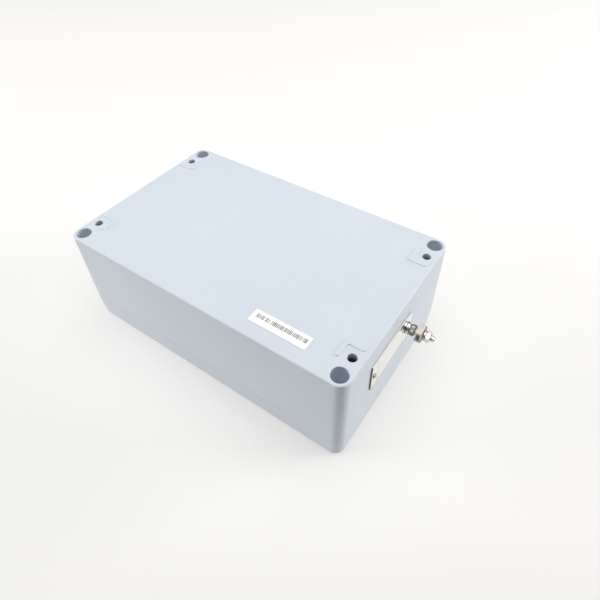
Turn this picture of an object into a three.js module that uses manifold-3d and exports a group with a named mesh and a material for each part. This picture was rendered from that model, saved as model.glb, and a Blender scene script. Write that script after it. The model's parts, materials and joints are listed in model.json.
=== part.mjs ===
// Solar charge controller in a die-cast wall box, lying on its lid.
// Millimetres, +Z up. The origin is the centre of the lid's outer face, +X points to the
// end with the earth stud, and the face that goes against the wall is uppermost.
import * as THREE from "three";
import { mergeVertices } from "three/addons/utils/BufferGeometryUtils.js";
import Module from "manifold-3d";

const wasm = await Module();
wasm.setup();

// ---------- Driving dimensions ----------

// Enclosure, outside
const LENGTH = 260; // at the parting line
const WIDTH = 160; // at the parting line
const LID_HEIGHT = 19;
const BASE_HEIGHT = 71;
const DRAFT = THREE.MathUtils.degToRad(1.3);
const CORNER_RADIUS = 8;
const BACK_EDGE_ROUND = 1.2;
const LID_EDGE_ROUND = 2;
const SEAM = 0.3; // dark line between lid and base

// Enclosure, inside
const WALL = 5; // at the parting line
const BACK_WALL = 5;
const LID_WALL = 5;
const CAVITY_RADIUS = 6;
const LID_LEDGE = 1.4; // how far the lid's hollow stands inside the base's
const GROOVE_START = 0.4; // from the base's hollow to the gasket groove
const GROOVE_WIDTH = 3.2;
const GROOVE_DEPTH = 3.2;

// Corner columns: lid screws, moulding pockets and wall fixing holes
const SCREW_INSET = 10; // from the parting outline to a lid screw, both ways
const FIXING_INSET_X = 10;
const FIXING_INSET_Y = 25;
const COLUMN_REACH = 11; // from a fixing hole to the column's inner faces
const POCKET_RADIUS = 6;
const POCKET_DEPTH = 20;
const FIXING_RADIUS = 3.3;
const FIXING_SEAT = 8; // thickness of metal under the head of a wall screw
const CHANNEL_RADIUS = 5.5;

// Raised L ribs on the back face
const RIB_WIDTH = 3.4;
const RIB_HEIGHT = 0.8;
const RIB_LENGTH = 15.5;

// Captive lid screws, M6
const LID_SCREW_RADIUS = 3;
const LID_SCREW_HEAD_RADIUS = 5;
const LID_SCREW_HEAD_HEIGHT = 5;
const LID_SCREW_GRIP = 6.5; // thread in the base
const LID_RECESS_RADIUS = 6.3;
const LID_RECESS_DEPTH = 14;
const SOCKET_FLATS = 5;
const SOCKET_DEPTH = 2.6;
const SEAL_RING_RADIUS = 4.1;
const SEAL_CORD_RADIUS = 0.6;

// Nameplate, rivet and label
const PLATE_LENGTH = 60;
const PLATE_HEIGHT = 27;
const PLATE_THICKNESS = 1;
const PLATE_END = 5; // from the earth stud to the plate's far edge
const RIVET_INSET = 4; // from the plate's near edge
const RIVET_HEAD_RADIUS = 2.1;
const RIVET_SHANK_RADIUS = 1.5;
const RIVET_HEAD_HEIGHT = 1;
const RIVET_GRIP = 3;
const LABEL_LENGTH = 46;
const LABEL_WIDTH = 11;
const LABEL_THICKNESS = 0.2;
const LABEL_INSET_X = 38; // from the parting outline to the label's near end
const LABEL_INSET_Y = 13;

// External earth stud, M5, through the stud end
const STUD_Y = 12.5;
const STUD_Z = 56.5;
const STUD_RADIUS = 2.5;
const STUD_OUTSIDE = 22.8;
const STUD_INSIDE = 16;
const NUT_WALL = 1.5; // metal beside the thread, at the flats
const NUT_HEIGHT = 4;
const CLAMP_NUT_HEIGHT = 3.7;
const PLAIN_WASHER_RADIUS = 5;
const PLAIN_WASHER_THICKNESS = 1;
const TOOTHED_WASHER_RADIUS = 4.7;
const TOOTHED_WASHER_THICKNESS = 0.9;
const SPRING_WASHER_RADIUS = 4.3;
const SPRING_WASHER_THICKNESS = 1.2;
const SADDLE_WIDTH = 10;
const SADDLE_PLATE = 1.8;
const SADDLE_FLANGE = 1.7;
const SADDLE_DEPTH = 5.5;
const WIRE_SPACE = 1.3; // from the lock nut to the saddle

// Cable glands, M16, in the other end
const GLAND_COUNT = 3;
const GLAND_SPACING = 28;
const GLAND_Z = 46;
const GLAND_THREAD_RADIUS = 7.9;
const GLAND_SHOULDER = 2.1; // plastic beside the thread, at the flats
const GLAND_FLANGE = 5;
const GLAND_BORE_RADIUS = 5.3;
const GLAND_NECK_RADIUS = 7.4;
const GLAND_NECK_LENGTH = 8.7;
const GLAND_INSIDE = 13; // thread length from the outer wall face inwards
const GLAND_SEAL_LENGTH = 7.3;
const GLAND_SEAL_WALL = 2;
const GLAND_SEAL_POCKET = 1; // radius step from the bore to the seal's pocket
const DOME_LENGTH = 8;
const DOME_TIP_RADIUS = 7.6;
const LOCKNUT_HEIGHT = 4;

// Circuit board and what it carries
const BOARD_MARGIN_X = 14; // from the column face to the board's end
const BOARD_MARGIN_Y = 23; // from the wall to the board's side
const BOARD_THICKNESS = 1.6;
const BOARD_GAP = 10; // from the back wall to the board
const BOARD_HOLE_INSET = 6;
const BOSS_RADIUS = 4.5;
const BOARD_SCREW_RADIUS = 1.5;
const BOARD_SCREW_HEAD_RADIUS = 2.8;
const BOARD_SCREW_HEAD_HEIGHT = 2.2;
const BOARD_SCREW_GRIP = 7;
const POLES = 6;
const POLE_PITCH = 9.5;
const BARRIER = 1.5;
const TERMINAL_DEPTH = 16;
const TERMINAL_BASE_HEIGHT = 6.5;
const TERMINAL_HEIGHT = 13;
const TERMINAL_INSET = 3;
const TERMINAL_SCREW_RADIUS = 1.75;
const TERMINAL_HEAD_RADIUS = 3.4;
const TERMINAL_HEAD_HEIGHT = 2.2;
const TERMINAL_SCREW_GRIP = 4.5;
const FUSE_LENGTH = 19;
const FUSE_WIDTH = 5;
const FUSE_HEIGHT = 11;
const FUSE_BLADE = [5, 0.8, 7];
const FUSE_HOLDER_WALL = 2;
const FUSE_HOLDER_HEIGHT = 10;
const INDUCTOR_RADIUS = 16;
const INDUCTOR_HOLE_RADIUS = 6;
const INDUCTOR_HEIGHT = 14;
const CAPACITOR_COUNT = 3;
const CAPACITOR_RADIUS = 8;
const CAPACITOR_HEIGHT = 25;
const CAPACITOR_PITCH = 18;
const TRANSISTOR_COUNT = 3;
const TRANSISTOR_PITCH = 22;
const TRANSISTOR_BODY = [10, 4.6, 15];
const TRANSISTOR_LEG = [0.9, 0.7, 4];
const TRANSISTOR_LEG_PITCH = 2.54;
const SPREADER_LENGTH = 66;
const SPREADER_THICKNESS = 5;
const SPREADER_HEIGHT = 20;
const CHIP_SIZE = 14;
const CHIP_HEIGHT = 1.6;
const SWITCH_SIZE = 12;
const SWITCH_HEIGHT = 4;
const BUTTON_RADIUS = 3.4;
const BUTTON_HEIGHT = 6;
const BUTTON_TRAVEL = 0.4;

// Clearances
const FIT = 0.3; // between pieces that are curved, cut or turned
const REST = 0.2; // between flat faces that rest on each other

// Facets
const FINE = 20;
const ROUND = 14;
const SMALL = 8;
const ARC = 3; // chords in a quarter turn inside the enclosure
const CORNER_ARC = 5; // chords in a quarter turn outside

// ---------- Values that follow ----------

const TOP_Z = LID_HEIGHT + BASE_HEIGHT;
const LID_TOP_Z = LID_HEIGHT - SEAM / 2;
const RIM_Z = LID_HEIGHT + SEAM / 2;
const CEILING_Z = TOP_Z - BACK_WALL;
const SCREW_X = LENGTH / 2 - SCREW_INSET;
const SCREW_Y = WIDTH / 2 - SCREW_INSET;
const FIXING_X = LENGTH / 2 - FIXING_INSET_X;
const FIXING_Y = WIDTH / 2 - FIXING_INSET_Y;
const COLUMN_X = FIXING_X - COLUMN_REACH;
const COLUMN_Y = FIXING_Y - COLUMN_REACH;
const BOARD_LENGTH = 2 * (COLUMN_X - BOARD_MARGIN_X);
const BOARD_WIDTH = 2 * (WIDTH / 2 - WALL - BOARD_MARGIN_Y);
const BOARD_FACE_Z = CEILING_Z - BOARD_GAP - BOARD_THICKNESS;
const BOARD_HOLE_X = BOARD_LENGTH / 2 - BOARD_HOLE_INSET;
const BOARD_HOLE_Y = BOARD_WIDTH / 2 - BOARD_HOLE_INSET;
const NUT_FLATS = 2 * (STUD_RADIUS + NUT_WALL);
const GLAND_FLATS = 2 * (GLAND_THREAD_RADIUS + GLAND_SHOULDER);
const CORNERS = [
  [1, 1],
  [-1, 1],
  [-1, -1],
  [1, -1],
];

// ---------- Finishes ----------

const PAINT = { color: 0xd3dde6, roughness: 0.45, metalness: 0 };
const RUBBER = { color: 0x26282a, roughness: 0.85, metalness: 0 };
const STAINLESS = { color: 0xc9c7c2, roughness: 0.3, metalness: 1 };
const DARK_STEEL = { color: 0x6f6a64, roughness: 0.4, metalness: 1 };
const POLISHED = { color: 0xe6e4df, roughness: 0.12, metalness: 1 };
const PAPER = { color: 0xf7f7f5, roughness: 0.7, metalness: 0 };
const POLYAMIDE = { color: 0x3a3d40, roughness: 0.6, metalness: 0 };
const BOARD_GREEN = { color: 0x1f5a35, roughness: 0.5, metalness: 0 };
const BLACK_PLASTIC = { color: 0x1c1c1e, roughness: 0.55, metalness: 0 };
const FUSE_PLASTIC = { color: 0xd8a21c, roughness: 0.3, metalness: 0 };
const COPPER = { color: 0xb06a38, roughness: 0.35, metalness: 1 };
const SLEEVE = { color: 0x23304a, roughness: 0.35, metalness: 0 };
const ALUMINIUM = { color: 0xb9bcc0, roughness: 0.4, metalness: 1 };
const BUTTON_PLASTIC = { color: 0xb8302a, roughness: 0.4, metalness: 0 };

// ---------- Shapes ----------

// An outline from [x, y, radius] corners, each of them a right angle.
function roundedOutline(corners) {
  const shape = new THREE.Shape();
  corners.forEach(([x, y, radius], i) => {
    const [beforeX, beforeY] = corners.at(i - 1);
    const [afterX, afterY] = corners[(i + 1) % corners.length];
    const back = new THREE.Vector2(beforeX - x, beforeY - y).setLength(radius);
    const ahead = new THREE.Vector2(afterX - x, afterY - y).setLength(radius);
    const inwards = back.cross(ahead) > 0;
    const start = Math.atan2(-ahead.y, -ahead.x);
    const end = Math.atan2(-back.y, -back.x);
    const centre = new THREE.Vector2(x, y).add(back).add(ahead);
    shape.absarc(centre.x, centre.y, radius, start, end, inwards);
  });
  shape.closePath();
  return shape;
}

function roundedRectangle(length, width, radius) {
  return roundedOutline([
    [length / 2, -width / 2, radius],
    [length / 2, width / 2, radius],
    [-length / 2, width / 2, radius],
    [-length / 2, -width / 2, radius],
  ]);
}

// The base's hollow, which steps in round the four corner columns, grown by an offset.
function hollowOutline(offset) {
  const endX = LENGTH / 2 - WALL + offset;
  const sideY = WIDTH / 2 - WALL + offset;
  const columnX = COLUMN_X + offset;
  const columnY = COLUMN_Y + offset;
  const outer = CAVITY_RADIUS + offset;
  const inner = CAVITY_RADIUS - offset;
  return roundedOutline([
    [endX, -columnY, outer],
    [endX, columnY, outer],
    [columnX, columnY, inner],
    [columnX, sideY, outer],
    [-columnX, sideY, outer],
    [-columnX, columnY, inner],
    [-endX, columnY, outer],
    [-endX, -columnY, outer],
    [-columnX, -columnY, inner],
    [-columnX, -sideY, outer],
    [columnX, -sideY, outer],
    [columnX, -columnY, inner],
  ]);
}

function hollowBand(fromOffset, toOffset) {
  const band = hollowOutline(toOffset);
  band.holes.push(hollowOutline(fromOffset));
  return band;
}

function hexagon(flats) {
  const radius = flats / Math.sqrt(3);
  const corners = Array.from({ length: 6 }, (_, i) => (Math.PI / 3) * i);
  return new THREE.Shape(
    corners.map((turn) => new THREE.Vector2(radius * Math.cos(turn), radius * Math.sin(turn))),
  );
}

// ---------- Solids ----------

function solid(geometry) {
  const bare = geometry.clone();
  bare.deleteAttribute("normal");
  bare.deleteAttribute("uv");
  const merged = mergeVertices(bare, 1e-4);
  const triangles = [];
  for (let i = 0; i < merged.index.count; i += 3) {
    const [a, b, c] = merged.index.array.slice(i, i + 3);
    if (a !== b && b !== c && c !== a) {
      triangles.push(a, b, c);
    }
  }
  return new wasm.Manifold(
    new wasm.Mesh({
      numProp: 3,
      vertProperties: merged.attributes.position.array,
      triVerts: new Uint32Array(triangles),
    }),
  );
}

function geometryOf(shape) {
  const mesh = shape.getMesh();
  const geometry = new THREE.BufferGeometry();
  geometry.setAttribute("position", new THREE.BufferAttribute(mesh.vertProperties, 3));
  geometry.setIndex(new THREE.BufferAttribute(mesh.triVerts, 1));
  geometry.computeVertexNormals();
  return geometry;
}

// A flat outline raised from one height to another.
function prism(outline, fromZ, toZ, curveSegments = ARC) {
  const settings = { depth: toZ - fromZ, bevelEnabled: false, curveSegments };
  return new THREE.ExtrudeGeometry(outline, settings).translate(0, 0, fromZ);
}

function box(fromX, toX, fromY, toY, fromZ, toZ) {
  return new THREE.BoxGeometry(toX - fromX, toY - fromY, toZ - fromZ).translate(
    (fromX + toX) / 2,
    (fromY + toY) / 2,
    (fromZ + toZ) / 2,
  );
}

// A block standing on the plane z = 0, centred on a point.
function block([length, width, height], x, y, z) {
  return box(x - length / 2, x + length / 2, y - width / 2, y + width / 2, z, z + height);
}

function rod(radius, fromZ, toZ, x = 0, y = 0, segments = ROUND) {
  return new THREE.CylinderGeometry(radius, radius, toZ - fromZ, segments)
    .rotateX(Math.PI / 2)
    .translate(x, y, (fromZ + toZ) / 2);
}

// A turned piece from [radius, height] points, about +Z.
function turned(profile, segments = ROUND) {
  const points = profile.map(([radius, height]) => new THREE.Vector2(radius, height));
  return new THREE.LatheGeometry(points, segments).rotateX(Math.PI / 2);
}

function ring(innerRadius, outerRadius, from, to, segments = ROUND) {
  return turned(
    [
      [innerRadius, from],
      [outerRadius, from],
      [outerRadius, to],
      [innerRadius, to],
      [innerRadius, from],
    ],
    segments,
  );
}

// The same, laid along +X: heights become distances from the wall.
function alongX(geometry) {
  return geometry.rotateY(Math.PI / 2);
}

function hexRod(flats, from, to) {
  return prism(hexagon(flats), from, to);
}

function bored(geometry, radius, from, to) {
  return solid(geometry).subtract(solid(rod(radius, from, to)));
}

function piece(name, geometry, finish) {
  const mesh = new THREE.Mesh(geometry, new THREE.MeshStandardMaterial(finish));
  mesh.name = name;
  return mesh;
}

// The outer block of lid or base, with rounded ends, before it is cut at the parting line.
// Its sides lean in upwards on the base (direction 1) and downwards on the lid (-1).
function draftedBlock(fromZ, toZ, edgeRound, direction) {
  const block = new THREE.ExtrudeGeometry(roundedRectangle(LENGTH, WIDTH, CORNER_RADIUS), {
    depth: toZ - fromZ - 2 * edgeRound,
    bevelThickness: edgeRound,
    bevelSize: edgeRound,
    bevelOffset: -edgeRound,
    bevelSegments: 2,
    curveSegments: CORNER_ARC,
  }).translate(0, 0, fromZ + edgeRound);
  const places = block.attributes.position;
  for (let i = 0; i < places.count; i += 1) {
    const lean = direction * wallLean(places.getZ(i));
    places.setX(i, places.getX(i) - Math.sign(places.getX(i)) * lean);
    places.setY(i, places.getY(i) - Math.sign(places.getY(i)) * lean);
  }
  return block;
}

// A frame on an end wall: its origin on the outer face, +X straight out of the wall.
function wallFrame(side, y, z) {
  const x = side * (LENGTH / 2 - wallLean(z));
  const outward = new THREE.Vector3(side * Math.cos(DRAFT), 0, Math.sin(DRAFT));
  const across = new THREE.Vector3(0, side, 0);
  const up = outward.clone().cross(across);
  return new THREE.Matrix4().makeBasis(outward, across, up).setPosition(x, y, z);
}

function wallLean(z) {
  return Math.tan(DRAFT) * (z - LID_HEIGHT);
}

function wallThickness(z) {
  return WALL - wallLean(z);
}

function framedGroup(frame, pieces) {
  const group = new THREE.Group();
  group.applyMatrix4(frame);
  group.add(...pieces);
  return group;
}

const studFrame = wallFrame(1, STUD_Y, STUD_Z);

function glandFrame(index) {
  return wallFrame(-1, GLAND_SPACING * (index - (GLAND_COUNT - 1) / 2), GLAND_Z);
}

const GLAND_INDICES = Array.from({ length: GLAND_COUNT }, (_, i) => i);

// ---------- Enclosure ----------

function lRib([sideX, sideY]) {
  const cornerX = COLUMN_X;
  const cornerY = COLUMN_Y;
  const outline = new THREE.Shape(
    [
      [cornerX, cornerY],
      [cornerX + RIB_LENGTH, cornerY],
      [cornerX + RIB_LENGTH, cornerY + RIB_WIDTH],
      [cornerX + RIB_WIDTH, cornerY + RIB_WIDTH],
      [cornerX + RIB_WIDTH, cornerY + RIB_LENGTH],
      [cornerX, cornerY + RIB_LENGTH],
    ].map(([x, y]) => new THREE.Vector2(sideX * x, sideY * y)),
  );
  return prism(outline, TOP_Z - RIB_HEIGHT, TOP_Z + RIB_HEIGHT);
}

function baseHousing() {
  const overrun = 1;
  const outside = solid(draftedBlock(0, TOP_Z, BACK_EDGE_ROUND, 1));
  const aboveRim = solid(box(-LENGTH, LENGTH, -WIDTH, WIDTH, RIM_Z, TOP_Z + overrun));
  const hollow = solid(prism(hollowOutline(0), RIM_Z - overrun, CEILING_Z));
  let housing = outside.intersect(aboveRim).subtract(hollow);
  for (const [sideX, sideY] of CORNERS) {
    const screwX = sideX * SCREW_X;
    const screwY = sideY * SCREW_Y;
    const fixingX = sideX * FIXING_X;
    const fixingY = sideY * FIXING_Y;
    const bossX = sideX * BOARD_HOLE_X;
    const bossY = sideY * BOARD_HOLE_Y;
    const threadTop = RIM_Z + LID_SCREW_GRIP + 2 * overrun;
    const bossEnd = CEILING_Z - BOARD_GAP + REST;
    const seatZ = TOP_Z - FIXING_SEAT;
    const topZ = TOP_Z + overrun;
    const screwHole = rod(LID_SCREW_RADIUS + FIT, RIM_Z - overrun, threadTop, screwX, screwY);
    const pocket = rod(POCKET_RADIUS, TOP_Z - POCKET_DEPTH, topZ, screwX, screwY, FINE);
    const channel = rod(CHANNEL_RADIUS, RIM_Z - overrun, seatZ, fixingX, fixingY);
    const fixingHole = rod(FIXING_RADIUS, seatZ - overrun, topZ, fixingX, fixingY);
    const boss = rod(BOSS_RADIUS, bossEnd, CEILING_Z + overrun, bossX, bossY);
    const bossHoleEnd = bossEnd + BOARD_SCREW_GRIP + overrun;
    const bossHole = rod(BOARD_SCREW_RADIUS + FIT, bossEnd - overrun, bossHoleEnd, bossX, bossY, SMALL);
    housing = housing
      .add(solid(lRib([sideX, sideY])))
      .add(solid(boss))
      .subtract(solid(screwHole))
      .subtract(solid(pocket))
      .subtract(solid(channel))
      .subtract(solid(fixingHole))
      .subtract(solid(bossHole));
  }
  for (const index of GLAND_INDICES) {
    const hole = alongX(rod(GLAND_THREAD_RADIUS + FIT, -2 * WALL, WALL, 0, 0, FINE));
    housing = housing.subtract(solid(hole.applyMatrix4(glandFrame(index))));
  }
  const studHole = alongX(rod(STUD_RADIUS + FIT, -2 * WALL, WALL));
  const rivetHole = alongX(rod(RIVET_SHANK_RADIUS + FIT, -RIVET_GRIP - FIT, WALL, 0, 0, SMALL));
  rivetHole.translate(0, rivetOffset(), 0);
  housing = housing
    .subtract(solid(studHole.applyMatrix4(studFrame)))
    .subtract(solid(rivetHole.applyMatrix4(studFrame)));
  return piece("base_housing", geometryOf(housing), PAINT);
}

function lidShell() {
  const overrun = 1;
  const outside = solid(draftedBlock(0, TOP_Z, LID_EDGE_ROUND, -1));
  const belowTop = solid(box(-LENGTH, LENGTH, -WIDTH, WIDTH, -overrun, LID_TOP_Z));
  const hollow = solid(prism(hollowOutline(-LID_LEDGE), LID_WALL, LID_TOP_Z + overrun));
  const grooveOutline = hollowBand(GROOVE_START, GROOVE_START + GROOVE_WIDTH);
  const groove = solid(prism(grooveOutline, LID_TOP_Z - GROOVE_DEPTH, LID_TOP_Z + overrun));
  let lid = outside.intersect(belowTop).subtract(hollow).subtract(groove);
  for (const [sideX, sideY] of CORNERS) {
    const x = sideX * SCREW_X;
    const y = sideY * SCREW_Y;
    const recess = rod(LID_RECESS_RADIUS, -overrun, LID_RECESS_DEPTH, x, y, FINE);
    const hole = rod(LID_SCREW_RADIUS + FIT, 0, LID_TOP_Z + overrun, x, y);
    lid = lid.subtract(solid(recess)).subtract(solid(hole));
  }
  return piece("lid", geometryOf(lid), PAINT);
}

function lidGasket() {
  const band = hollowBand(GROOVE_START + FIT, GROOVE_START + GROOVE_WIDTH - FIT);
  const gasket = prism(band, LID_TOP_Z - GROOVE_DEPTH + REST, LID_HEIGHT - SEAM / 6);
  return piece("lid_gasket", gasket, RUBBER);
}

function lidScrews() {
  const sealZ = LID_RECESS_DEPTH - FIT - SEAL_CORD_RADIUS;
  const headTop = sealZ - SEAL_CORD_RADIUS - REST;
  const headBottom = headTop - LID_SCREW_HEAD_HEIGHT;
  const tip = RIM_Z + LID_SCREW_GRIP;
  const blank = turned([
    [0, headBottom],
    [LID_SCREW_HEAD_RADIUS, headBottom],
    [LID_SCREW_HEAD_RADIUS, headTop],
    [LID_SCREW_RADIUS, headTop],
    [LID_SCREW_RADIUS, tip],
    [0, tip],
  ]);
  const socket = solid(hexRod(SOCKET_FLATS, headBottom - SOCKET_DEPTH, headBottom + SOCKET_DEPTH));
  const screw = geometryOf(solid(blank).subtract(socket));
  const seal = new THREE.TorusGeometry(SEAL_RING_RADIUS, SEAL_CORD_RADIUS, 6, ROUND);
  return CORNERS.flatMap(([sideX, sideY], i) => {
    const screwPiece = piece(`lid_screw_${i + 1}`, screw.clone(), STAINLESS);
    const sealPiece = piece(`lid_screw_seal_${i + 1}`, seal.clone(), RUBBER);
    screwPiece.position.set(sideX * SCREW_X, sideY * SCREW_Y, 0);
    sealPiece.position.set(sideX * SCREW_X, sideY * SCREW_Y, sealZ);
    return [screwPiece, sealPiece];
  });
}

function partLabel() {
  const label = prism(roundedRectangle(LABEL_LENGTH, LABEL_WIDTH, 1), 0, LABEL_THICKNESS, 3);
  const mesh = piece("part_label", label, PAPER);
  const x = LENGTH / 2 - LABEL_INSET_X - LABEL_LENGTH / 2;
  const y = -WIDTH / 2 + LABEL_INSET_Y + LABEL_WIDTH / 2;
  mesh.position.set(x, y, TOP_Z + REST / 2);
  return mesh;
}

// ---------- Nameplate and earth stud, on the stud end ----------

function rivetOffset() {
  return PLATE_END - PLATE_LENGTH + RIVET_INSET;
}

function nameplate() {
  const centreY = PLATE_END - PLATE_LENGTH / 2;
  const outline = roundedRectangle(PLATE_HEIGHT, PLATE_LENGTH, 1);
  const blank = alongX(prism(outline, REST, REST + PLATE_THICKNESS, 3)).translate(0, centreY, 0);
  const studHole = alongX(rod(STUD_RADIUS + FIT, 0, WALL));
  const rivetHole = alongX(rod(RIVET_SHANK_RADIUS + FIT, 0, WALL, 0, 0, SMALL));
  const plate = solid(blank)
    .subtract(solid(studHole))
    .subtract(solid(rivetHole.translate(0, rivetOffset(), 0)));
  return piece("nameplate", geometryOf(plate), POLISHED);
}

function nameplateRivet() {
  const seat = 2 * REST + PLATE_THICKNESS;
  const profile = [
    [0, -RIVET_GRIP],
    [RIVET_SHANK_RADIUS, -RIVET_GRIP],
    [RIVET_SHANK_RADIUS, seat],
    [RIVET_HEAD_RADIUS, seat],
    [RIVET_HEAD_RADIUS * 0.75, seat + RIVET_HEAD_HEIGHT * 0.75],
    [0, seat + RIVET_HEAD_HEIGHT],
  ];
  const rivet = piece("nameplate_rivet", alongX(turned(profile, SMALL)), STAINLESS);
  rivet.position.y = rivetOffset();
  return rivet;
}

function hexNut(name, flats, height, from, holeRadius, finish) {
  const nut = bored(hexRod(flats, from, from + height), holeRadius, from - 1, from + height + 1);
  return piece(name, alongX(geometryOf(nut)), finish);
}

function earthSaddle(from) {
  const half = SADDLE_WIDTH / 2;
  const plateFrom = from + SADDLE_DEPTH - SADDLE_PLATE;
  const saddle = solid(box(plateFrom, from + SADDLE_DEPTH, -half, half, -half, half))
    .add(solid(box(from, from + SADDLE_DEPTH, -half, half, half - SADDLE_FLANGE, half)))
    .add(solid(box(from, from + SADDLE_DEPTH, -half, half, -half, SADDLE_FLANGE - half)))
    .subtract(solid(alongX(rod(STUD_RADIUS + FIT, from, from + 2 * SADDLE_DEPTH))));
  return piece("earth_clamp_saddle", geometryOf(saddle), STAINLESS);
}

function washer(name, radius, thickness, from, finish) {
  return piece(name, alongX(ring(STUD_RADIUS + FIT, radius, from, from + thickness)), finish);
}

function earthStud() {
  const nutHole = STUD_RADIUS + FIT;
  const plainFrom = 2 * REST + PLATE_THICKNESS;
  const toothedFrom = plainFrom + PLAIN_WASHER_THICKNESS + REST;
  const lockNutFrom = toothedFrom + TOOTHED_WASHER_THICKNESS + REST;
  const saddleFrom = lockNutFrom + NUT_HEIGHT + WIRE_SPACE;
  const springFrom = saddleFrom + SADDLE_DEPTH + REST;
  const clampNutFrom = springFrom + SPRING_WASHER_THICKNESS + REST;
  const innerWasherFrom = -wallThickness(STUD_Z) - FIT - PLAIN_WASHER_THICKNESS;
  const innerNutFrom = innerWasherFrom - REST - NUT_HEIGHT;
  return [
    piece("earth_stud", alongX(rod(STUD_RADIUS, -STUD_INSIDE, STUD_OUTSIDE)), STAINLESS),
    washer("earth_plain_washer", PLAIN_WASHER_RADIUS, PLAIN_WASHER_THICKNESS, plainFrom, STAINLESS),
    washer("earth_toothed_washer", TOOTHED_WASHER_RADIUS, TOOTHED_WASHER_THICKNESS, toothedFrom, STAINLESS),
    hexNut("earth_lock_nut", NUT_FLATS, NUT_HEIGHT, lockNutFrom, nutHole, DARK_STEEL),
    earthSaddle(saddleFrom),
    washer("earth_spring_washer", SPRING_WASHER_RADIUS, SPRING_WASHER_THICKNESS, springFrom, STAINLESS),
    hexNut("earth_clamp_nut", NUT_FLATS, CLAMP_NUT_HEIGHT, clampNutFrom, nutHole, STAINLESS),
    washer("inner_earth_washer", PLAIN_WASHER_RADIUS, PLAIN_WASHER_THICKNESS, innerWasherFrom, STAINLESS),
    hexNut("inner_earth_nut", NUT_FLATS, NUT_HEIGHT, innerNutFrom, nutHole, STAINLESS),
  ];
}

// ---------- Cable glands, on the other end ----------

function glandBody(name) {
  const flangeFrom = FIT;
  const flangeTo = FIT + GLAND_FLANGE;
  const neckTo = flangeTo + GLAND_NECK_LENGTH;
  const pocketFrom = neckTo - GLAND_SEAL_LENGTH + FIT;
  const body = solid(rod(GLAND_THREAD_RADIUS, -GLAND_INSIDE, flangeTo, 0, 0, FINE))
    .add(solid(hexRod(GLAND_FLATS, flangeFrom, flangeTo)))
    .add(solid(rod(GLAND_NECK_RADIUS, flangeFrom, neckTo, 0, 0, FINE)))
    .subtract(solid(rod(GLAND_BORE_RADIUS, -GLAND_INSIDE - 1, neckTo + 1, 0, 0, FINE)))
    .subtract(solid(rod(GLAND_BORE_RADIUS + GLAND_SEAL_POCKET, pocketFrom, neckTo + 1, 0, 0, FINE)));
  return piece(name, alongX(geometryOf(body)), POLYAMIDE);
}

function glandSeal(name) {
  const outerRadius = GLAND_BORE_RADIUS + GLAND_SEAL_POCKET - FIT;
  const to = FIT + GLAND_FLANGE + GLAND_NECK_LENGTH + 2 * FIT;
  const seal = ring(outerRadius - GLAND_SEAL_WALL, outerRadius, to - GLAND_SEAL_LENGTH, to);
  return piece(name, alongX(seal), RUBBER);
}

function glandDomeNut(name) {
  const from = 2 * FIT + GLAND_FLANGE;
  const shoulder = FIT + GLAND_FLANGE + GLAND_NECK_LENGTH + 3 * FIT;
  const tip = shoulder + DOME_LENGTH - GLAND_SEAL_WALL;
  const domeFrom = tip - DOME_LENGTH;
  const cornerRadius = GLAND_FLATS / Math.sqrt(3);
  const quarter = Math.PI / 2;
  const arcPoints = Array.from({ length: ARC + 1 }, (_, step) => {
    const turn = (quarter * step) / ARC;
    const radius = DOME_TIP_RADIUS + (cornerRadius - DOME_TIP_RADIUS) * Math.cos(turn);
    return [radius, domeFrom + DOME_LENGTH * Math.sin(turn)];
  });
  const dome = turned([[0, from], [cornerRadius, from], ...arcPoints, [0, tip]], FINE);
  const nut = solid(hexRod(GLAND_FLATS, from, tip))
    .intersect(solid(dome))
    .subtract(solid(rod(GLAND_NECK_RADIUS + FIT, from - 1, shoulder, 0, 0, FINE)))
    .subtract(solid(rod(GLAND_BORE_RADIUS, from, tip + 1, 0, 0, FINE)));
  return piece(name, alongX(geometryOf(nut)), POLYAMIDE);
}

function gland(index) {
  const number = index + 1;
  const tiltGap = FIT + Math.tan(DRAFT) * GLAND_FLATS;
  const locknutFrom = -wallThickness(GLAND_Z) - tiltGap - LOCKNUT_HEIGHT;
  const holeRadius = GLAND_THREAD_RADIUS + FIT;
  return framedGroup(glandFrame(index), [
    glandBody(`gland_body_${number}`),
    glandSeal(`gland_seal_${number}`),
    glandDomeNut(`gland_dome_nut_${number}`),
    hexNut(`gland_locknut_${number}`, GLAND_FLATS, LOCKNUT_HEIGHT, locknutFrom, holeRadius, POLYAMIDE),
  ]);
}

// ---------- Circuit board: local +Z points away from the back wall, towards the lid ----------

function circuitBoard() {
  const outline = roundedRectangle(BOARD_LENGTH, BOARD_WIDTH, 2);
  for (const [sideX, sideY] of CORNERS) {
    const hole = new THREE.Path();
    const radius = BOARD_SCREW_RADIUS + FIT;
    hole.absarc(sideX * BOARD_HOLE_X, sideY * BOARD_HOLE_Y, radius, 0, 2 * Math.PI);
    outline.holes.push(hole);
  }
  return piece("circuit_board", prism(outline, -BOARD_THICKNESS, 0, 4), BOARD_GREEN);
}

function panScrew(headRadius, headHeight, shankRadius, grip, from) {
  return turned(
    [
      [0, from - grip],
      [shankRadius, from - grip],
      [shankRadius, from],
      [headRadius, from],
      [headRadius, from + headHeight * 0.6],
      [headRadius * 0.7, from + headHeight],
      [0, from + headHeight],
    ],
    SMALL,
  );
}

function boardScrews() {
  const grip = BOARD_THICKNESS + REST + BOARD_SCREW_GRIP;
  const screw = panScrew(BOARD_SCREW_HEAD_RADIUS, BOARD_SCREW_HEAD_HEIGHT, BOARD_SCREW_RADIUS, grip, REST);
  return CORNERS.map(([sideX, sideY], i) => {
    const mesh = piece(`board_screw_${i + 1}`, screw.clone(), STAINLESS);
    mesh.position.set(sideX * BOARD_HOLE_X, sideY * BOARD_HOLE_Y, 0);
    return mesh;
  });
}

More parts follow.
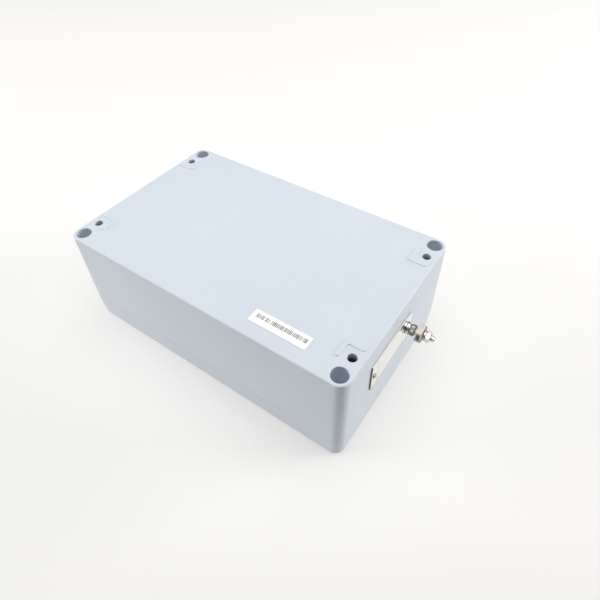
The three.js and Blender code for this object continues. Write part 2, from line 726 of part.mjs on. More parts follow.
function terminalBlock() {
  const x = -BOARD_LENGTH / 2 + TERMINAL_INSET + TERMINAL_DEPTH / 2;
  const length = POLES * POLE_PITCH + BARRIER;
  const screwSeat = REST + TERMINAL_BASE_HEIGHT;
  const shankDepth = TERMINAL_SCREW_GRIP + FIT;
  let housing = solid(block([TERMINAL_DEPTH, length, TERMINAL_BASE_HEIGHT], x, 0, REST));
  for (let i = 0; i <= POLES; i += 1) {
    const y = (i - POLES / 2) * POLE_PITCH;
    housing = housing.add(solid(block([TERMINAL_DEPTH, BARRIER, TERMINAL_HEIGHT], x, y, REST)));
  }
  const screw = panScrew(
    TERMINAL_HEAD_RADIUS,
    TERMINAL_HEAD_HEIGHT,
    TERMINAL_SCREW_RADIUS,
    TERMINAL_SCREW_GRIP,
    screwSeat + REST,
  );
  const screws = [];
  for (let i = 0; i < POLES; i += 1) {
    const y = (i - (POLES - 1) / 2) * POLE_PITCH;
    const hole = rod(TERMINAL_SCREW_RADIUS + FIT, screwSeat - shankDepth, screwSeat + 1, x, y, SMALL);
    housing = housing.subtract(solid(hole));
    const mesh = piece(`terminal_screw_${i + 1}`, screw.clone(), STAINLESS);
    mesh.position.set(x, y, 0);
    screws.push(mesh);
  }
  return [piece("terminal_block", geometryOf(housing), BLACK_PLASTIC), ...screws];
}

function bladeFuse(x, y) {
  const [bladeWidth, bladeThickness, bladeLength] = FUSE_BLADE;
  const bladeX = FUSE_LENGTH / 2 - bladeWidth / 2;
  const holderTop = REST + FUSE_HOLDER_HEIGHT;
  const holderSize = [
    FUSE_LENGTH + 2 * FUSE_HOLDER_WALL,
    FUSE_WIDTH + 2 * FUSE_HOLDER_WALL,
    FUSE_HOLDER_HEIGHT,
  ];
  let holder = solid(block(holderSize, x, y, REST));
  let fuse = solid(block([FUSE_LENGTH, FUSE_WIDTH, FUSE_HEIGHT], x, y, holderTop + REST));
  for (const side of [-1, 1]) {
    const bladeAt = x + side * bladeX;
    const blade = block([bladeWidth, bladeThickness, bladeLength + 1], bladeAt, y, holderTop - bladeLength);
    const slotSize = [bladeWidth + 2 * FIT, bladeThickness + 2 * FIT, bladeLength + 2];
    const slot = block(slotSize, bladeAt, y, holderTop - bladeLength - FIT);
    fuse = fuse.add(solid(blade));
    holder = holder.subtract(solid(slot));
  }
  return [
    piece("fuse_holder", geometryOf(holder), BLACK_PLASTIC),
    piece("blade_fuse", geometryOf(fuse), FUSE_PLASTIC),
  ];
}

function inductor(x, y) {
  const bevel = 2;
  const profile = [
    [INDUCTOR_HOLE_RADIUS + bevel, 0],
    [INDUCTOR_RADIUS - bevel, 0],
    [INDUCTOR_RADIUS, bevel],
    [INDUCTOR_RADIUS, INDUCTOR_HEIGHT - bevel],
    [INDUCTOR_RADIUS - bevel, INDUCTOR_HEIGHT],
    [INDUCTOR_HOLE_RADIUS + bevel, INDUCTOR_HEIGHT],
    [INDUCTOR_HOLE_RADIUS, INDUCTOR_HEIGHT - bevel],
    [INDUCTOR_HOLE_RADIUS, bevel],
    [INDUCTOR_HOLE_RADIUS + bevel, 0],
  ];
  const mesh = piece("power_inductor", turned(profile, ROUND), COPPER);
  mesh.position.set(x, y, REST);
  return mesh;
}

function capacitors(firstX, y) {
  const bevel = 0.8;
  const profile = [
    [0, 0],
    [CAPACITOR_RADIUS - bevel, 0],
    [CAPACITOR_RADIUS, bevel],
    [CAPACITOR_RADIUS, CAPACITOR_HEIGHT - bevel],
    [CAPACITOR_RADIUS - bevel, CAPACITOR_HEIGHT],
    [0, CAPACITOR_HEIGHT],
  ];
  return Array.from({ length: CAPACITOR_COUNT }, (_, i) => {
    const mesh = piece(`capacitor_${i + 1}`, turned(profile), SLEEVE);
    mesh.position.set(firstX + i * CAPACITOR_PITCH, y, REST);
    return mesh;
  });
}

function transistors(middleX, y) {
  const [bodyWidth, bodyDepth, bodyHeight] = TRANSISTOR_BODY;
  const [legWidth, legDepth, legHeight] = TRANSISTOR_LEG;
  const spreaderY = y + bodyDepth / 2 + REST + SPREADER_THICKNESS / 2;
  const spreader = block([SPREADER_LENGTH, SPREADER_THICKNESS, SPREADER_HEIGHT], middleX, spreaderY, REST);
  const pieces = [piece("heat_spreader", spreader, ALUMINIUM)];
  for (let i = 0; i < TRANSISTOR_COUNT; i += 1) {
    const x = middleX + (i - (TRANSISTOR_COUNT - 1) / 2) * TRANSISTOR_PITCH;
    let body = solid(block([bodyWidth, bodyDepth, bodyHeight], x, y, REST + legHeight));
    for (const leg of [-1, 0, 1]) {
      const legX = x + leg * TRANSISTOR_LEG_PITCH;
      body = body.add(solid(block([legWidth, legDepth, legHeight + 1], legX, y, REST)));
    }
    pieces.push(piece(`transistor_${i + 1}`, geometryOf(body), BLACK_PLASTIC));
  }
  return pieces;
}

function controlChip(x, y) {
  return piece("control_chip", block([CHIP_SIZE, CHIP_SIZE, CHIP_HEIGHT], x, y, REST), BLACK_PLASTIC);
}

function testButton(x, y) {
  const top = REST + SWITCH_HEIGHT;
  const floor = top - SWITCH_HEIGHT * 0.75;
  const wellRadius = BUTTON_RADIUS + FIT;
  const body = solid(block([SWITCH_SIZE, SWITCH_SIZE, SWITCH_HEIGHT], x, y, REST));
  const well = solid(rod(wellRadius, floor, top + 1, x, y));
  const buttonFrom = floor + BUTTON_TRAVEL + FIT;
  const button = rod(BUTTON_RADIUS, buttonFrom, buttonFrom + BUTTON_HEIGHT, x, y);
  return [
    piece("test_switch", geometryOf(body.subtract(well)), BLACK_PLASTIC),
    piece("test_button", button, BUTTON_PLASTIC),
  ];
}

function boardAssembly() {
  const group = new THREE.Group();
  const terminalEnd = -BOARD_LENGTH / 2 + TERMINAL_INSET + TERMINAL_DEPTH;
  const farEnd = BOARD_LENGTH / 2;
  const sideY = BOARD_WIDTH / 2;
  const firstX = terminalEnd + 8;
  group.position.z = BOARD_FACE_Z;
  group.rotation.x = Math.PI;
  group.add(
    circuitBoard(),
    ...boardScrews(),
    ...terminalBlock(),
    ...bladeFuse(firstX + FUSE_LENGTH / 2, -sideY + 14),
    inductor(firstX + INDUCTOR_RADIUS, sideY - 14 - INDUCTOR_RADIUS / 2),
    ...capacitors(firstX + FUSE_LENGTH + 22, -sideY + 6 + CAPACITOR_RADIUS),
    ...transistors(farEnd - 22 - SPREADER_LENGTH / 2, sideY - 12),
    controlChip(farEnd - 50, 2),
    ...testButton(farEnd - 14, -4),
  );
  return group;
}

// ---------- The whole controller ----------

const controller = new THREE.Group();
controller.add(
  baseHousing(),
  lidShell(),
  lidGasket(),
  ...lidScrews(),
  partLabel(),
  framedGroup(studFrame, [nameplate(), nameplateRivet(), ...earthStud()]),
  ...GLAND_INDICES.map(gland),
  boardAssembly(),
);

export default controller;
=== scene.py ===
# Solar charge controller: the painted box, its earth stud, cable glands and board,
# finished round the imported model. Shapes are drawn in millimetres.
import json
import math
import random

import bmesh
import bpy
from mathutils import Matrix, Vector


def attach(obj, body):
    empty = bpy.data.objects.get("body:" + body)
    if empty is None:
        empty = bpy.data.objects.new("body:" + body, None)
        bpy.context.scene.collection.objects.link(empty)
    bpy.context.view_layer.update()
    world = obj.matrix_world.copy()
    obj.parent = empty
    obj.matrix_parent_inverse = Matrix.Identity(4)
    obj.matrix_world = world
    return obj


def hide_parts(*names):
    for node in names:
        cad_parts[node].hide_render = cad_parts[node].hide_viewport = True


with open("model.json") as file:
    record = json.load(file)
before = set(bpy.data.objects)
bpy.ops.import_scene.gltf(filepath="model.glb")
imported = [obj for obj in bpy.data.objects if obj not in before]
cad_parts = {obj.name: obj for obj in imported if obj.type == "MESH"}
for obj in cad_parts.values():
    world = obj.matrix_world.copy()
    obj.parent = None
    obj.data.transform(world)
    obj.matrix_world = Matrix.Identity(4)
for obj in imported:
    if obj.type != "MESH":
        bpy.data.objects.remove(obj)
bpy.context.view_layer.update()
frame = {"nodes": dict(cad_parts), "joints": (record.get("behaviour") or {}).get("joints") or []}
NODES = frame["nodes"]
JOINTS = {joint["name"]: joint for joint in frame["joints"]}

MM = 0.001
FULL_TURN = 2 * math.pi
X, Z = 0, 2
ALONG_X = Matrix.Rotation(math.pi / 2, 4, "Y")
TURNED_OVER = Matrix.Rotation(math.pi, 4, "X")
SAME = 1e-4  # points closer than this count as one
PAST = 1.0  # how far a cut runs on beyond the face it opens

# ---------- Driving dimensions that the model's boxes don't give ----------

HALF_LENGTH = 130.0
HALF_WIDTH = 80.0
DRAFT = math.radians(1.3)
PARTING_Z = 19.0
CORNER_RADIUS = 8.0
BACK_EDGE_ROUND = 1.2
LID_EDGE_ROUND = 2.0
WALL = 5.0
HOLLOW_RADIUS = 6.0
COLUMN = (109.0, 44.0)
FIXING = (120.0, 55.0)
SCREW = (HALF_LENGTH - 10.0, HALF_WIDTH - 10.0)
LID_LEDGE = 1.4
POCKET_RADIUS = 6.0
POCKET_DEPTH = 20.0
FIXING_RADIUS = 3.3
FIXING_SEAT = 8.0
CHANNEL_RADIUS = 5.5
LID_RECESS_RADIUS = 6.3
LID_RECESS_DEPTH = 14.0
LID_SCREW_RADIUS = 3.0
SCREW_HOLE_RADIUS = 3.3
SCREW_HOLE_DEPTH = 8.5
RIB_WIDTH = 3.4
RIB_LENGTH = 15.5
BOSS_RADIUS = 4.5
BOARD_HOLE_INSET = 6
STUD_CLEARANCE = 2.8
STUD_BORE = 2.62
STUD_NUT_FLATS = 8.0
GLAND_HOLE_RADIUS = 8.2
GLAND_THREAD_RADIUS = 7.9
GLAND_FLATS = 20.0
STUD_THREAD = 0.8
LID_THREAD = 1.0
GLAND_THREAD = 1.5
CORNERS = [(1, 1), (-1, 1), (-1, -1), (1, -1)]


# ---------- Places ----------


def at_corners(x, y):
    """The four spots that a point and its mirror images take."""
    return [(side_x * x, side_y * y) for side_x, side_y in CORNERS]


def reach(node, place=Matrix.Identity(4)):
    """Lowest and highest corner of a node in a place's own axes, in millimetres."""
    back = place.inverted()
    points = [back @ (v.co / MM) for v in NODES[node].data.vertices]
    low = Vector(min(p[i] for p in points) for i in range(3))
    high = Vector(max(p[i] for p in points) for i in range(3))
    return low, high


def wall_place(joint):
    """On an end wall: +X straight out along a joint's axis, +Z up the wall."""
    out = Vector(JOINTS[joint]["axis"]).normalized()
    across = Vector((0, 0, 1)).cross(out).normalized()
    up = out.cross(across)
    turn = Matrix((out, across, up)).transposed().to_4x4()
    return Matrix.Translation(Vector(JOINTS[joint]["pos_m"]) / MM) @ turn


RIM_Z = reach("base_housing")[0].z
RIB_TOP_Z = reach("base_housing")[1].z
TOP_Z = reach("part_label")[0].z - 0.1
STUD = wall_place("earth_nut_turn")
GLANDS = {i: wall_place(f"gland_{i}_turn") for i in (1, 2, 3)}
BOARD = Matrix.Translation((0, 0, reach("circuit_board")[0].z)) @ TURNED_OVER


# ---------- Shapes ----------


def settle(shape):
    bmesh.ops.remove_doubles(shape, verts=shape.verts, dist=SAME)
    bmesh.ops.recalc_face_normals(shape, faces=shape.faces)
    return shape


def moved(shape, place):
    bmesh.ops.transform(shape, matrix=place, verts=shape.verts)
    return shape


def shifted(shape, x=0.0, y=0.0, z=0.0):
    return moved(shape, Matrix.Translation((x, y, z)))


def round_edges(shape, edges, radius, segments=3):
    bmesh.ops.bevel(
        shape, geom=list(edges), offset=radius, offset_type="OFFSET", segments=segments,
        profile=0.5, affect="EDGES", clamp_overlap=True, material=-1,
    )
    return shape


def edges_along(shape, axis):
    def runs_along(edge):
        span = edge.verts[1].co - edge.verts[0].co
        return abs(span[axis]) > 0.99 * span.length

    return [edge for edge in shape.edges if runs_along(edge)]


def edges_at(shape, axis, level):
    return [e for e in shape.edges if all(abs(v.co[axis] - level) < SAME for v in e.verts)]


def round_along(shape, axis, radius, segments=3):
    return round_edges(shape, edges_along(shape, axis), radius, segments)


def round_at(shape, axis, level, radius, segments=3):
    return round_edges(shape, edges_at(shape, axis, level), radius, segments)


def block(low, high, radius=0.0, segments=3):
    shape = bmesh.new()
    low, high = Vector(low), Vector(high)
    bmesh.ops.create_cube(shape, size=1.0)
    bmesh.ops.scale(shape, vec=high - low, verts=shape.verts)
    bmesh.ops.translate(shape, vec=(low + high) / 2, verts=shape.verts)
    if radius:
        round_edges(shape, shape.edges, radius, segments)
    return shape


def bar(x, y, half_x, half_y, low, high, radius=0.0, segments=3):
    """A block that stands about a spot."""
    return block((x - half_x, y - half_y, low), (x + half_x, y + half_y, high), radius, segments)


def prism(points, low, high):
    """A flat outline raised along Z."""
    shape = bmesh.new()
    outline = shape.faces.new([shape.verts.new((x, y, low)) for x, y in points])
    raised = bmesh.ops.extrude_face_region(shape, geom=[outline])["geom"]
    top = [part for part in raised if isinstance(part, bmesh.types.BMVert)]
    bmesh.ops.translate(shape, vec=(0, 0, high - low), verts=top)
    return settle(shape)


def turned(profile, segments=48):
    """A profile of (radius, height) points, spun about Z. It ends on the axis or on itself."""
    shape = bmesh.new()
    points = [shape.verts.new((radius, 0, height)) for radius, height in profile]
    lines = [shape.edges.new(pair) for pair in zip(points, points[1:])]
    bmesh.ops.spin(
        shape, geom=points + lines, cent=(0, 0, 0), axis=(0, 0, 1), dvec=(0, 0, 0),
        angle=FULL_TURN, steps=segments, use_merge=True,
    )
    return settle(shape)


def coil(corners, angle, steps, rise):
    """A closed outline of (radius, height) corners, wound about Z and lifted at each step."""
    shape = bmesh.new()
    section = shape.faces.new([shape.verts.new((radius, 0, height)) for radius, height in corners])
    bmesh.ops.spin(
        shape, geom=[section, *section.edges, *section.verts], cent=(0, 0, 0), axis=(0, 0, 1),
        dvec=(0, 0, rise), angle=angle, steps=steps,
    )
    return settle(shape)


def arc(radius, height, size, start, end, steps=4, tall=None):
    """Points on an arc of a profile, between two angles in degrees. A tall makes it oval."""
    turns = [math.radians(start + (end - start) * i / steps) for i in range(steps + 1)]
    return [(radius + size * math.cos(t), height + (tall or size) * math.sin(t)) for t in turns]


def rod(radius, low, high, edge=0.0, segments=48):
    if not edge:
        return turned([(0, low), (radius, low), (radius, high), (0, high)], segments)
    profile = [(0, low)]
    profile += arc(radius - edge, low + edge, edge, -90, 0, 3)
    profile += arc(radius - edge, high - edge, edge, 0, 90, 3)
    return turned(profile + [(0, high)], segments)


def ring(inner, outer, low, high, edge, steps=2):
    """A washer with rounded edges."""
    profile = arc(inner + edge, low + edge, edge, 180, 270, steps)
    profile += arc(outer - edge, low + edge, edge, 270, 360, steps)
    profile += arc(outer - edge, high - edge, edge, 0, 90, steps)
    profile += arc(inner + edge, high - edge, edge, 90, 180, steps)
    return turned(profile + profile[:1])


def torus(radius, cord, height):
    profile = arc(radius, height, cord, 0, 360, 12)[:-1]
    return turned(profile + profile[:1])


def flared_hole(radius, low, high, rim, floor_round=0.0, segments=48):
    """The shape cut away by a hole whose mouth, at the high end, is rounded over."""
    profile = [(0, low)]
    if floor_round:
        profile += arc(radius - floor_round, low + floor_round, floor_round, -90, 0)
    else:
        profile += [(radius, low)]
    profile += arc(radius + rim, high - rim, rim, 180, 90)
    return turned(profile + [(radius + rim, high + 2), (0, high + 2)], segments)


def spindle(face, waist, low, high, slope):
    """A profile with one radius at both faces and beyond, and another between its two slopes."""
    return [
        (0, low - PAST), (face, low - PAST), (face, low), (waist, low + slope),
        (waist, high - slope), (face, high), (face, high + PAST), (0, high + PAST),
    ]


def mesh_of(shape, name="scratch"):
    """A shape's mesh. It uses the shape up."""
    mesh = bpy.data.meshes.new(name)
    shape.to_mesh(mesh)
    shape.free()
    return mesh


def put_in_scene(name, data):
    item = bpy.data.objects.new(name, data)
    bpy.context.scene.collection.objects.link(item)
    return item


def combined(shape, tool, operation):
    """Two shapes made one by cutting, joining or keeping what they share. It uses both up."""
    subject, cutter = (put_in_scene("scratch", mesh_of(part)) for part in (shape, tool))
    cut = subject.modifiers.new("cut", "BOOLEAN")
    cut.object = cutter
    cut.operation = operation
    cut.solver = "EXACT"
    result = bmesh.new()
    result.from_object(subject, bpy.context.evaluated_depsgraph_get())
    for item in (subject, cutter):
        mesh = item.data
        bpy.data.objects.remove(item)
        bpy.data.meshes.remove(mesh)
    return result


def carved(shape, *tools):
    for tool in tools:
        shape = combined(shape, tool, "DIFFERENCE")
    return shape


def joined(shape, *others):
    for other in others:
        shape = combined(shape, other, "UNION")
    return shape


def gathered(*shapes):
    """Several closed shapes in one mesh, uncut."""
    whole = bmesh.new()
    for shape in shapes:
        mesh = mesh_of(shape)
        whole.from_mesh(mesh)
        bpy.data.meshes.remove(mesh)
    return whole


def hexagon_across(flats, low, high, edge):
    radius = flats / math.sqrt(3)
    turns = [FULL_TURN * i / 6 for i in range(6)]
    shape = prism([(radius * math.cos(t), radius * math.sin(t)) for t in turns], low, high)
    return round_along(shape, Z, edge)


def helix(core, crest, low, high, pitch, steps_a_turn=24):
    """The ridge of a screw thread, its foot sunk a little into the core."""
    foot = core - 0.05 * pitch
    half = 0.46 * pitch
    flat = 0.08 * pitch
    start = low + half
    corners = [(foot, start - half), (crest, start - flat), (crest, start + flat), (foot, start + half)]
    turns = (high - low - 2 * half) / pitch
    return coil(corners, FULL_TURN * turns, max(1, round(turns * steps_a_turn)), pitch / steps_a_turn)


def threaded_rod(radius, low, high, pitch):
    core = radius - 0.58 * pitch
    lead = 0.7 * pitch
    profile = [(0, low), (core, low), (core, high - lead), (core - lead * 0.5, high), (0, high)]
    return gathered(turned(profile, 32), helix(core, radius, low, high - lead, pitch))


def hex_nut(flats, low, high, bore):
    """A nut with both faces chamfered and its bore countersunk."""
    past_corner = flats / math.sqrt(3) + 0.02
    chamfer = spindle(0.94 * flats / 2, past_corner, low, high, 0.24 * (high - low))
    nut = combined(hexagon_across(flats, low, high, 0.15), turned(chamfer, 64), "INTERSECT")
    sink = 0.4
    return carved(nut, turned(spindle(bore + sink, bore, low, high, sink), 40))


# ---------- Shader sums ----------


def sum_node(operation, swapped=False):
    """A method that adds a Math node. The amount is its first input, or its last when swapped."""

    def method(amount, *others):
        terms = (*others, amount) if swapped else (amount, *others)
        return amount.finish.node("Math", dict(enumerate(terms)), operation=operation)

    return method


class Amount:
    """A node's output that can be used in sums."""

    def __init__(self, finish, socket):
        self.finish = finish
        self.socket = socket

    __add__ = sum_node("ADD")
    __radd__ = sum_node("ADD", swapped=True)
    __sub__ = sum_node("SUBTRACT")
    __rsub__ = sum_node("SUBTRACT", swapped=True)
    __mul__ = sum_node("MULTIPLY")
    __rmul__ = sum_node("MULTIPLY", swapped=True)
    __truediv__ = sum_node("DIVIDE")
    __pow__ = sum_node("POWER")
    __abs__ = sum_node("ABSOLUTE")
    above = sum_node("GREATER_THAN")
    below = sum_node("LESS_THAN")
    fraction = sum_node("FRACT")
    floor = sum_node("FLOOR")
    wave = sum_node("SINE")
    larger = sum_node("MAXIMUM")

    def between(self, low, high):
        """0 below the low level, 1 above the high one, and even in between."""
        return self.finish.node("MapRange", {"Value": self, "From Min": low, "From Max": high})


class Finish:
    """A material, built from one Principled shader."""

    def __init__(self, name, **settings):
        self.material = bpy.data.materials.new(name)
        self.material.use_nodes = True
        self.nodes = self.material.node_tree.nodes
        self.links = self.material.node_tree.links
        self.nodes.clear()
        self.shader = self.nodes.new("ShaderNodeBsdfPrincipled")
        output = self.nodes.new("ShaderNodeOutputMaterial")
        self.links.new(self.shader.outputs[0], output.inputs["Surface"])
        self.place = self.node("TexCoord", out="Object")
        for label, value in settings.items():
            self.set(label.replace("_", " ").title().replace("Ior", "IOR"), value)

    def node(self, kind, inputs=None, out=0, **settings):
        made = self.nodes.new("ShaderNode" + kind)
        for name, value in settings.items():
            setattr(made, name, value)
        for name, value in (inputs or {}).items():
            self.feed(made.inputs[name], value)
        return Amount(self, made.outputs[out])

    def feed(self, socket, value):
        if isinstance(value, Amount):
            self.links.new(value.socket, socket)
        elif socket.type == "RGBA" and len(value) == 3:
            socket.default_value = (*value, 1)
        else:
            socket.default_value = value

    def set(self, name, value):
        self.feed(self.shader.inputs[name], value)
        return self

    def noise(self, size, detail=2.0, roughness=0.5, place=None):
        """Clouds of about a size in millimetres, from 0 to 1."""
        inputs = {"Vector": place or self.place, "Scale": 1 / (size * MM)}
        return self.node("TexNoise", {**inputs, "Detail": detail, "Roughness": roughness})

    def stretched(self, x, y, z):
        return self.node("Mapping", {"Vector": self.place, "Scale": (x, y, z)})

    def axis(self, name):
        """A coordinate in millimetres."""
        return self.node("SeparateXYZ", {0: self.place}, out=name) * (1 / MM)

    def mix(self, share, first, second):
        """Two colours, which are the Mix node's inputs 6 and 7 and its output 2."""
        return self.node("Mix", {0: share, 6: first, 7: second}, out=2, data_type="RGBA")

    def grain(self, height, depth, strength=1.0):
        """Surface relief, from a height of 0 to 1 and a depth in millimetres."""
        bump = self.node("Bump", {"Height": height, "Strength": strength, "Distance": depth * MM})
        return self.set("Normal", bump)

    def made(self, tone, roughness, height, depth, strength):
        """The material, once its colour, roughness and relief are known."""
        self.set("Base Color", tone)
        self.set("Roughness", roughness)
        self.grain(height, depth, strength)
        return self.material

    def facing(self, name):
        """How far the surface faces along an axis, from -1 to 1."""
        normal = self.node("NewGeometry", out="Normal")
        return self.node("SeparateXYZ", {0: normal}, out=name)

    def from_axis(self, place):
        """Distance in millimetres from a place's own X axis."""
        turn = {"Vector": self.place, "Location": tuple(-v * MM for v in place.translation)}
        local = self.node("Mapping", turn)
        y = self.node("SeparateXYZ", {0: local}, out="Y")
        z = self.node("SeparateXYZ", {0: local}, out="Z")
        return (y * y + z * z) ** 0.5 * (1 / MM)


# ---------- Finishes ----------


def painted_casting():
    """Light blue-grey enamel: fine stipple and slow drifts of tone, with a painted highlight along the
    back's rims and painted shade deep in the fixing holes.
    """
    paint = Finish("blue_grey_enamel", specular_ior_level=0.42)
    drift = paint.noise(55, 2, 0.5)
    mottle = paint.noise(7, 3, 0.55)
    speck = paint.noise(0.9, 2, 0.6)
    tone = paint.mix(drift, (0.570, 0.630, 0.705), (0.610, 0.670, 0.740))
    tone = paint.mix(mottle.between(0.35, 0.75) * 0.25, tone, (0.635, 0.695, 0.76))
    tone = paint.mix(speck.between(0.66, 0.8) * 0.12, tone, (0.42, 0.48, 0.55))
    far_x, far_y, height = abs(paint.axis("X")), abs(paint.axis("Y")), paint.axis("Z")
    lean = math.tan(DRAFT) * abs(height - PARTING_Z)
    end_rim = (far_x + lean).between(HALF_LENGTH - 0.9, HALF_LENGTH - 0.3)
    side_rim = (far_y + lean).between(HALF_WIDTH - 0.9, HALF_WIDTH - 0.3)
    rim = end_rim.larger(side_rim) * height.between(TOP_Z - 1.1, TOP_Z - 0.5)
    # Painted highlight: the back's rounded rims are lightened in patches, as if light caught them.
    tone = paint.mix(rim * (0.25 + 0.35 * mottle), tone, (0.80, 0.84, 0.88))
    # Painted shade: deep inside the fixing holes the colour falls to near black, where little light reaches.
    hole = FIXING_RADIUS + 0.2
    in_hole = abs(far_x - FIXING[0]).below(hole) * abs(far_y - FIXING[1]).below(hole)
    depth = (1 - height.between(TOP_Z - 6.5, TOP_Z - 1.2)) * height.above(TOP_Z - FIXING_SEAT + 0.05)
    tone = paint.mix(in_hole * depth * 0.93, tone, (0.020, 0.024, 0.030))
    relief = 0.65 * paint.noise(0.55, 2, 0.6) + 0.35 * paint.noise(2.2, 1, 0.4)
    return paint.made(tone, 0.40 + 0.14 * mottle + 0.05 * drift, relief, 0.035, 0.55)


def rubber():
    skin = Finish("black_rubber", specular_ior_level=0.3)
    dust = skin.noise(3, 3, 0.6)
    tone = skin.mix(dust, (0.020, 0.020, 0.022), (0.045, 0.046, 0.050))
    return skin.made(tone, 0.70 + 0.2 * dust, skin.noise(0.25, 2, 0.6), 0.02, 0.6)


def machined_steel(name, dark, light, roughness, lay=(1, 1, 1)):
    """Bright metal with fine tool marks drawn out along a lay."""
    steel = Finish(name, metallic=1.0)
    marks = steel.noise(0.22, 3, 0.6, steel.stretched(*lay))
    cloud = steel.noise(2.5, 2, 0.5)
    tone = steel.mix(cloud, dark, light)
    return steel.made(tone, roughness + 0.14 * marks + 0.08 * cloud, marks, 0.006, 0.6)


def dark_steel():
    """Blackened steel, rubbed bright at its edges."""
    steel = Finish("blackened_steel", metallic=1.0)
    cloud = steel.noise(1.2, 3, 0.6)
    worn = steel.from_axis(STUD).between(4.15, 4.5) * steel.noise(0.5, 2, 0.5).between(0.3, 0.6)
    tone = steel.mix(cloud, (0.16, 0.145, 0.13), (0.30, 0.27, 0.24))
    tone = steel.mix(worn, tone, (0.62, 0.60, 0.57))
    return steel.made(tone, 0.30 + 0.22 * cloud, steel.noise(0.3, 2, 0.6), 0.01, 0.5)


def polished_plate():
    """Bright rolled stainless with faint polish lines and smears; its cut rim darker and rougher, partly the
    edge's own finish and partly painted shade, and a painted shadow along its foot and near end.
    """
    plate = Finish("polished_stainless", metallic=1.0)
    lines = plate.noise(0.12, 2, 0.5, plate.stretched(1, 0.04, 1))
    smear = plate.noise(11, 3, 0.6)
    foot_z = reach("nameplate")[0].z
    end = (0 - plate.facing("Y")).between(0.35, 0.8)
    foot = 1 - plate.axis("Z").between(foot_z + 1.1, foot_z + 1.4)
    rim = 1 - plate.facing("X").between(0.6, 0.95)
    tone = plate.mix(smear, (0.90, 0.885, 0.845), (0.95, 0.945, 0.925))
    # The cut rim is darkened a little: partly the edge's own finish, partly painted shade.
    tone = plate.mix(rim * 0.3, tone, (0.50, 0.485, 0.44))
    # Painted shadow: the plate's foot and near end turn nearly black, standing in for the shadow in the gap
    # between plate and wall.
    tone = plate.mix(end.larger(foot) * 0.92, tone, (0.13, 0.12, 0.09))
    roughness = 0.06 + 0.08 * smear.between(0.4, 0.8) + 0.04 * lines + 0.25 * rim
    return plate.made(tone, roughness, lines + 0.8 * smear, 0.006, 0.2)


def label_paper():
    """White label stock with one row of plain printed bars, their ink a little broken."""
    paper = Finish("printed_label", specular_ior_level=0.35)
    low, high = reach("part_label")
    length, width = high.x - low.x, high.y - low.y
    bar_pitch = 1.2
    half_height = 1.75
    along = paper.axis("X") - low.x
    across = paper.axis("Y") - low.y
    cell = (along / bar_pitch).floor()
    inside_cell = (along / bar_pitch).fraction()

    def scramble(step, spread):
        """A number from 0 to 1 for each cell, in no order that shows."""
        return ((cell * step).wave() * spread).fraction()

    bar_end = 0.38 + 0.45 * scramble(12.9898, 43.7)
    printed = scramble(78.233, 31.3).above(0.15)
    bar = inside_cell.above(0.08) * (1 - (inside_cell - bar_end).above(0.0)) * printed
    rise = (across - (width / 2 + 0.9)) / half_height
    margins = along.above(3.0) * along.below(length - 1.6)
    ink = bar * (1 - abs(rise).between(0.95, 1.05)) * margins
    fibre = paper.noise(0.4, 3, 0.6)
    stock = paper.mix(fibre, (0.90, 0.90, 0.89), (0.95, 0.95, 0.945))
    broken = ink * (0.62 + 0.38 * paper.noise(0.5, 2, 0.5).between(0.35, 0.6))
    tone = paper.mix(broken, stock, (0.05, 0.05, 0.06))
    return paper.made(tone, 0.50 + 0.15 * fibre, fibre, 0.008, 0.5)


def moulded_plastic(name, dark, light, roughness=0.5, spark=0.3):
    """Injection-moulded plastic with a fine spark-eroded texture."""
    plastic = Finish(name)
    cloud = plastic.noise(6, 2, 0.5)
    pits = plastic.noise(spark, 3, 0.6)
    rubbed = plastic.noise(1.4, 3, 0.6).between(0.62, 0.8) * 0.3
    paler = tuple(min(1.0, c * 1.5 + 0.01) for c in light)
    tone = plastic.mix(rubbed, plastic.mix(cloud, dark, light), paler)
    return plastic.made(tone, roughness + 0.12 * pits, pits, 0.02, 0.5)


def board_mask():
    """Green solder mask over copper tracks that run along and across the board."""
    board = Finish("green_solder_mask", specular_ior_level=0.55)
    x, y = board.axis("X"), board.axis("Y")
    wander = board.noise(9, 1, 0.3) * 6
    lanes_x = ((y + wander) / 2.6).fraction().below(0.36)
    lanes_y = ((x + wander) / 3.1).fraction().below(0.30)
    region = board.noise(17, 0, 0.2).above(0.5)
    tracks = lanes_x * region + lanes_y * (1 - region)
    holes = board.node("TexVoronoi", {"Vector": board.place, "Scale": 150.0, "Randomness": 0.75})
    pads = holes.below(0.11)
    tone = board.mix(tracks, (0.010, 0.085, 0.035), (0.020, 0.150, 0.060))
    tone = board.mix(pads, tone, (0.62, 0.60, 0.55))
    board.set("Metallic", pads * 0.9)
    return board.made(tone, 0.34 + 0.1 * board.noise(1.5, 2, 0.5), tracks + pads, 0.03, 0.7)


def enamelled_copper():
    wire = Finish("enamelled_copper", metallic=1.0, coat_weight=0.6, coat_roughness=0.12)
    cloud = wire.noise(1.6, 2, 0.5)
    tone = wire.mix(cloud, (0.52, 0.20, 0.085), (0.72, 0.33, 0.15))
    return wire.made(tone, 0.22 + 0.12 * cloud, cloud, 0.01, 0.4)


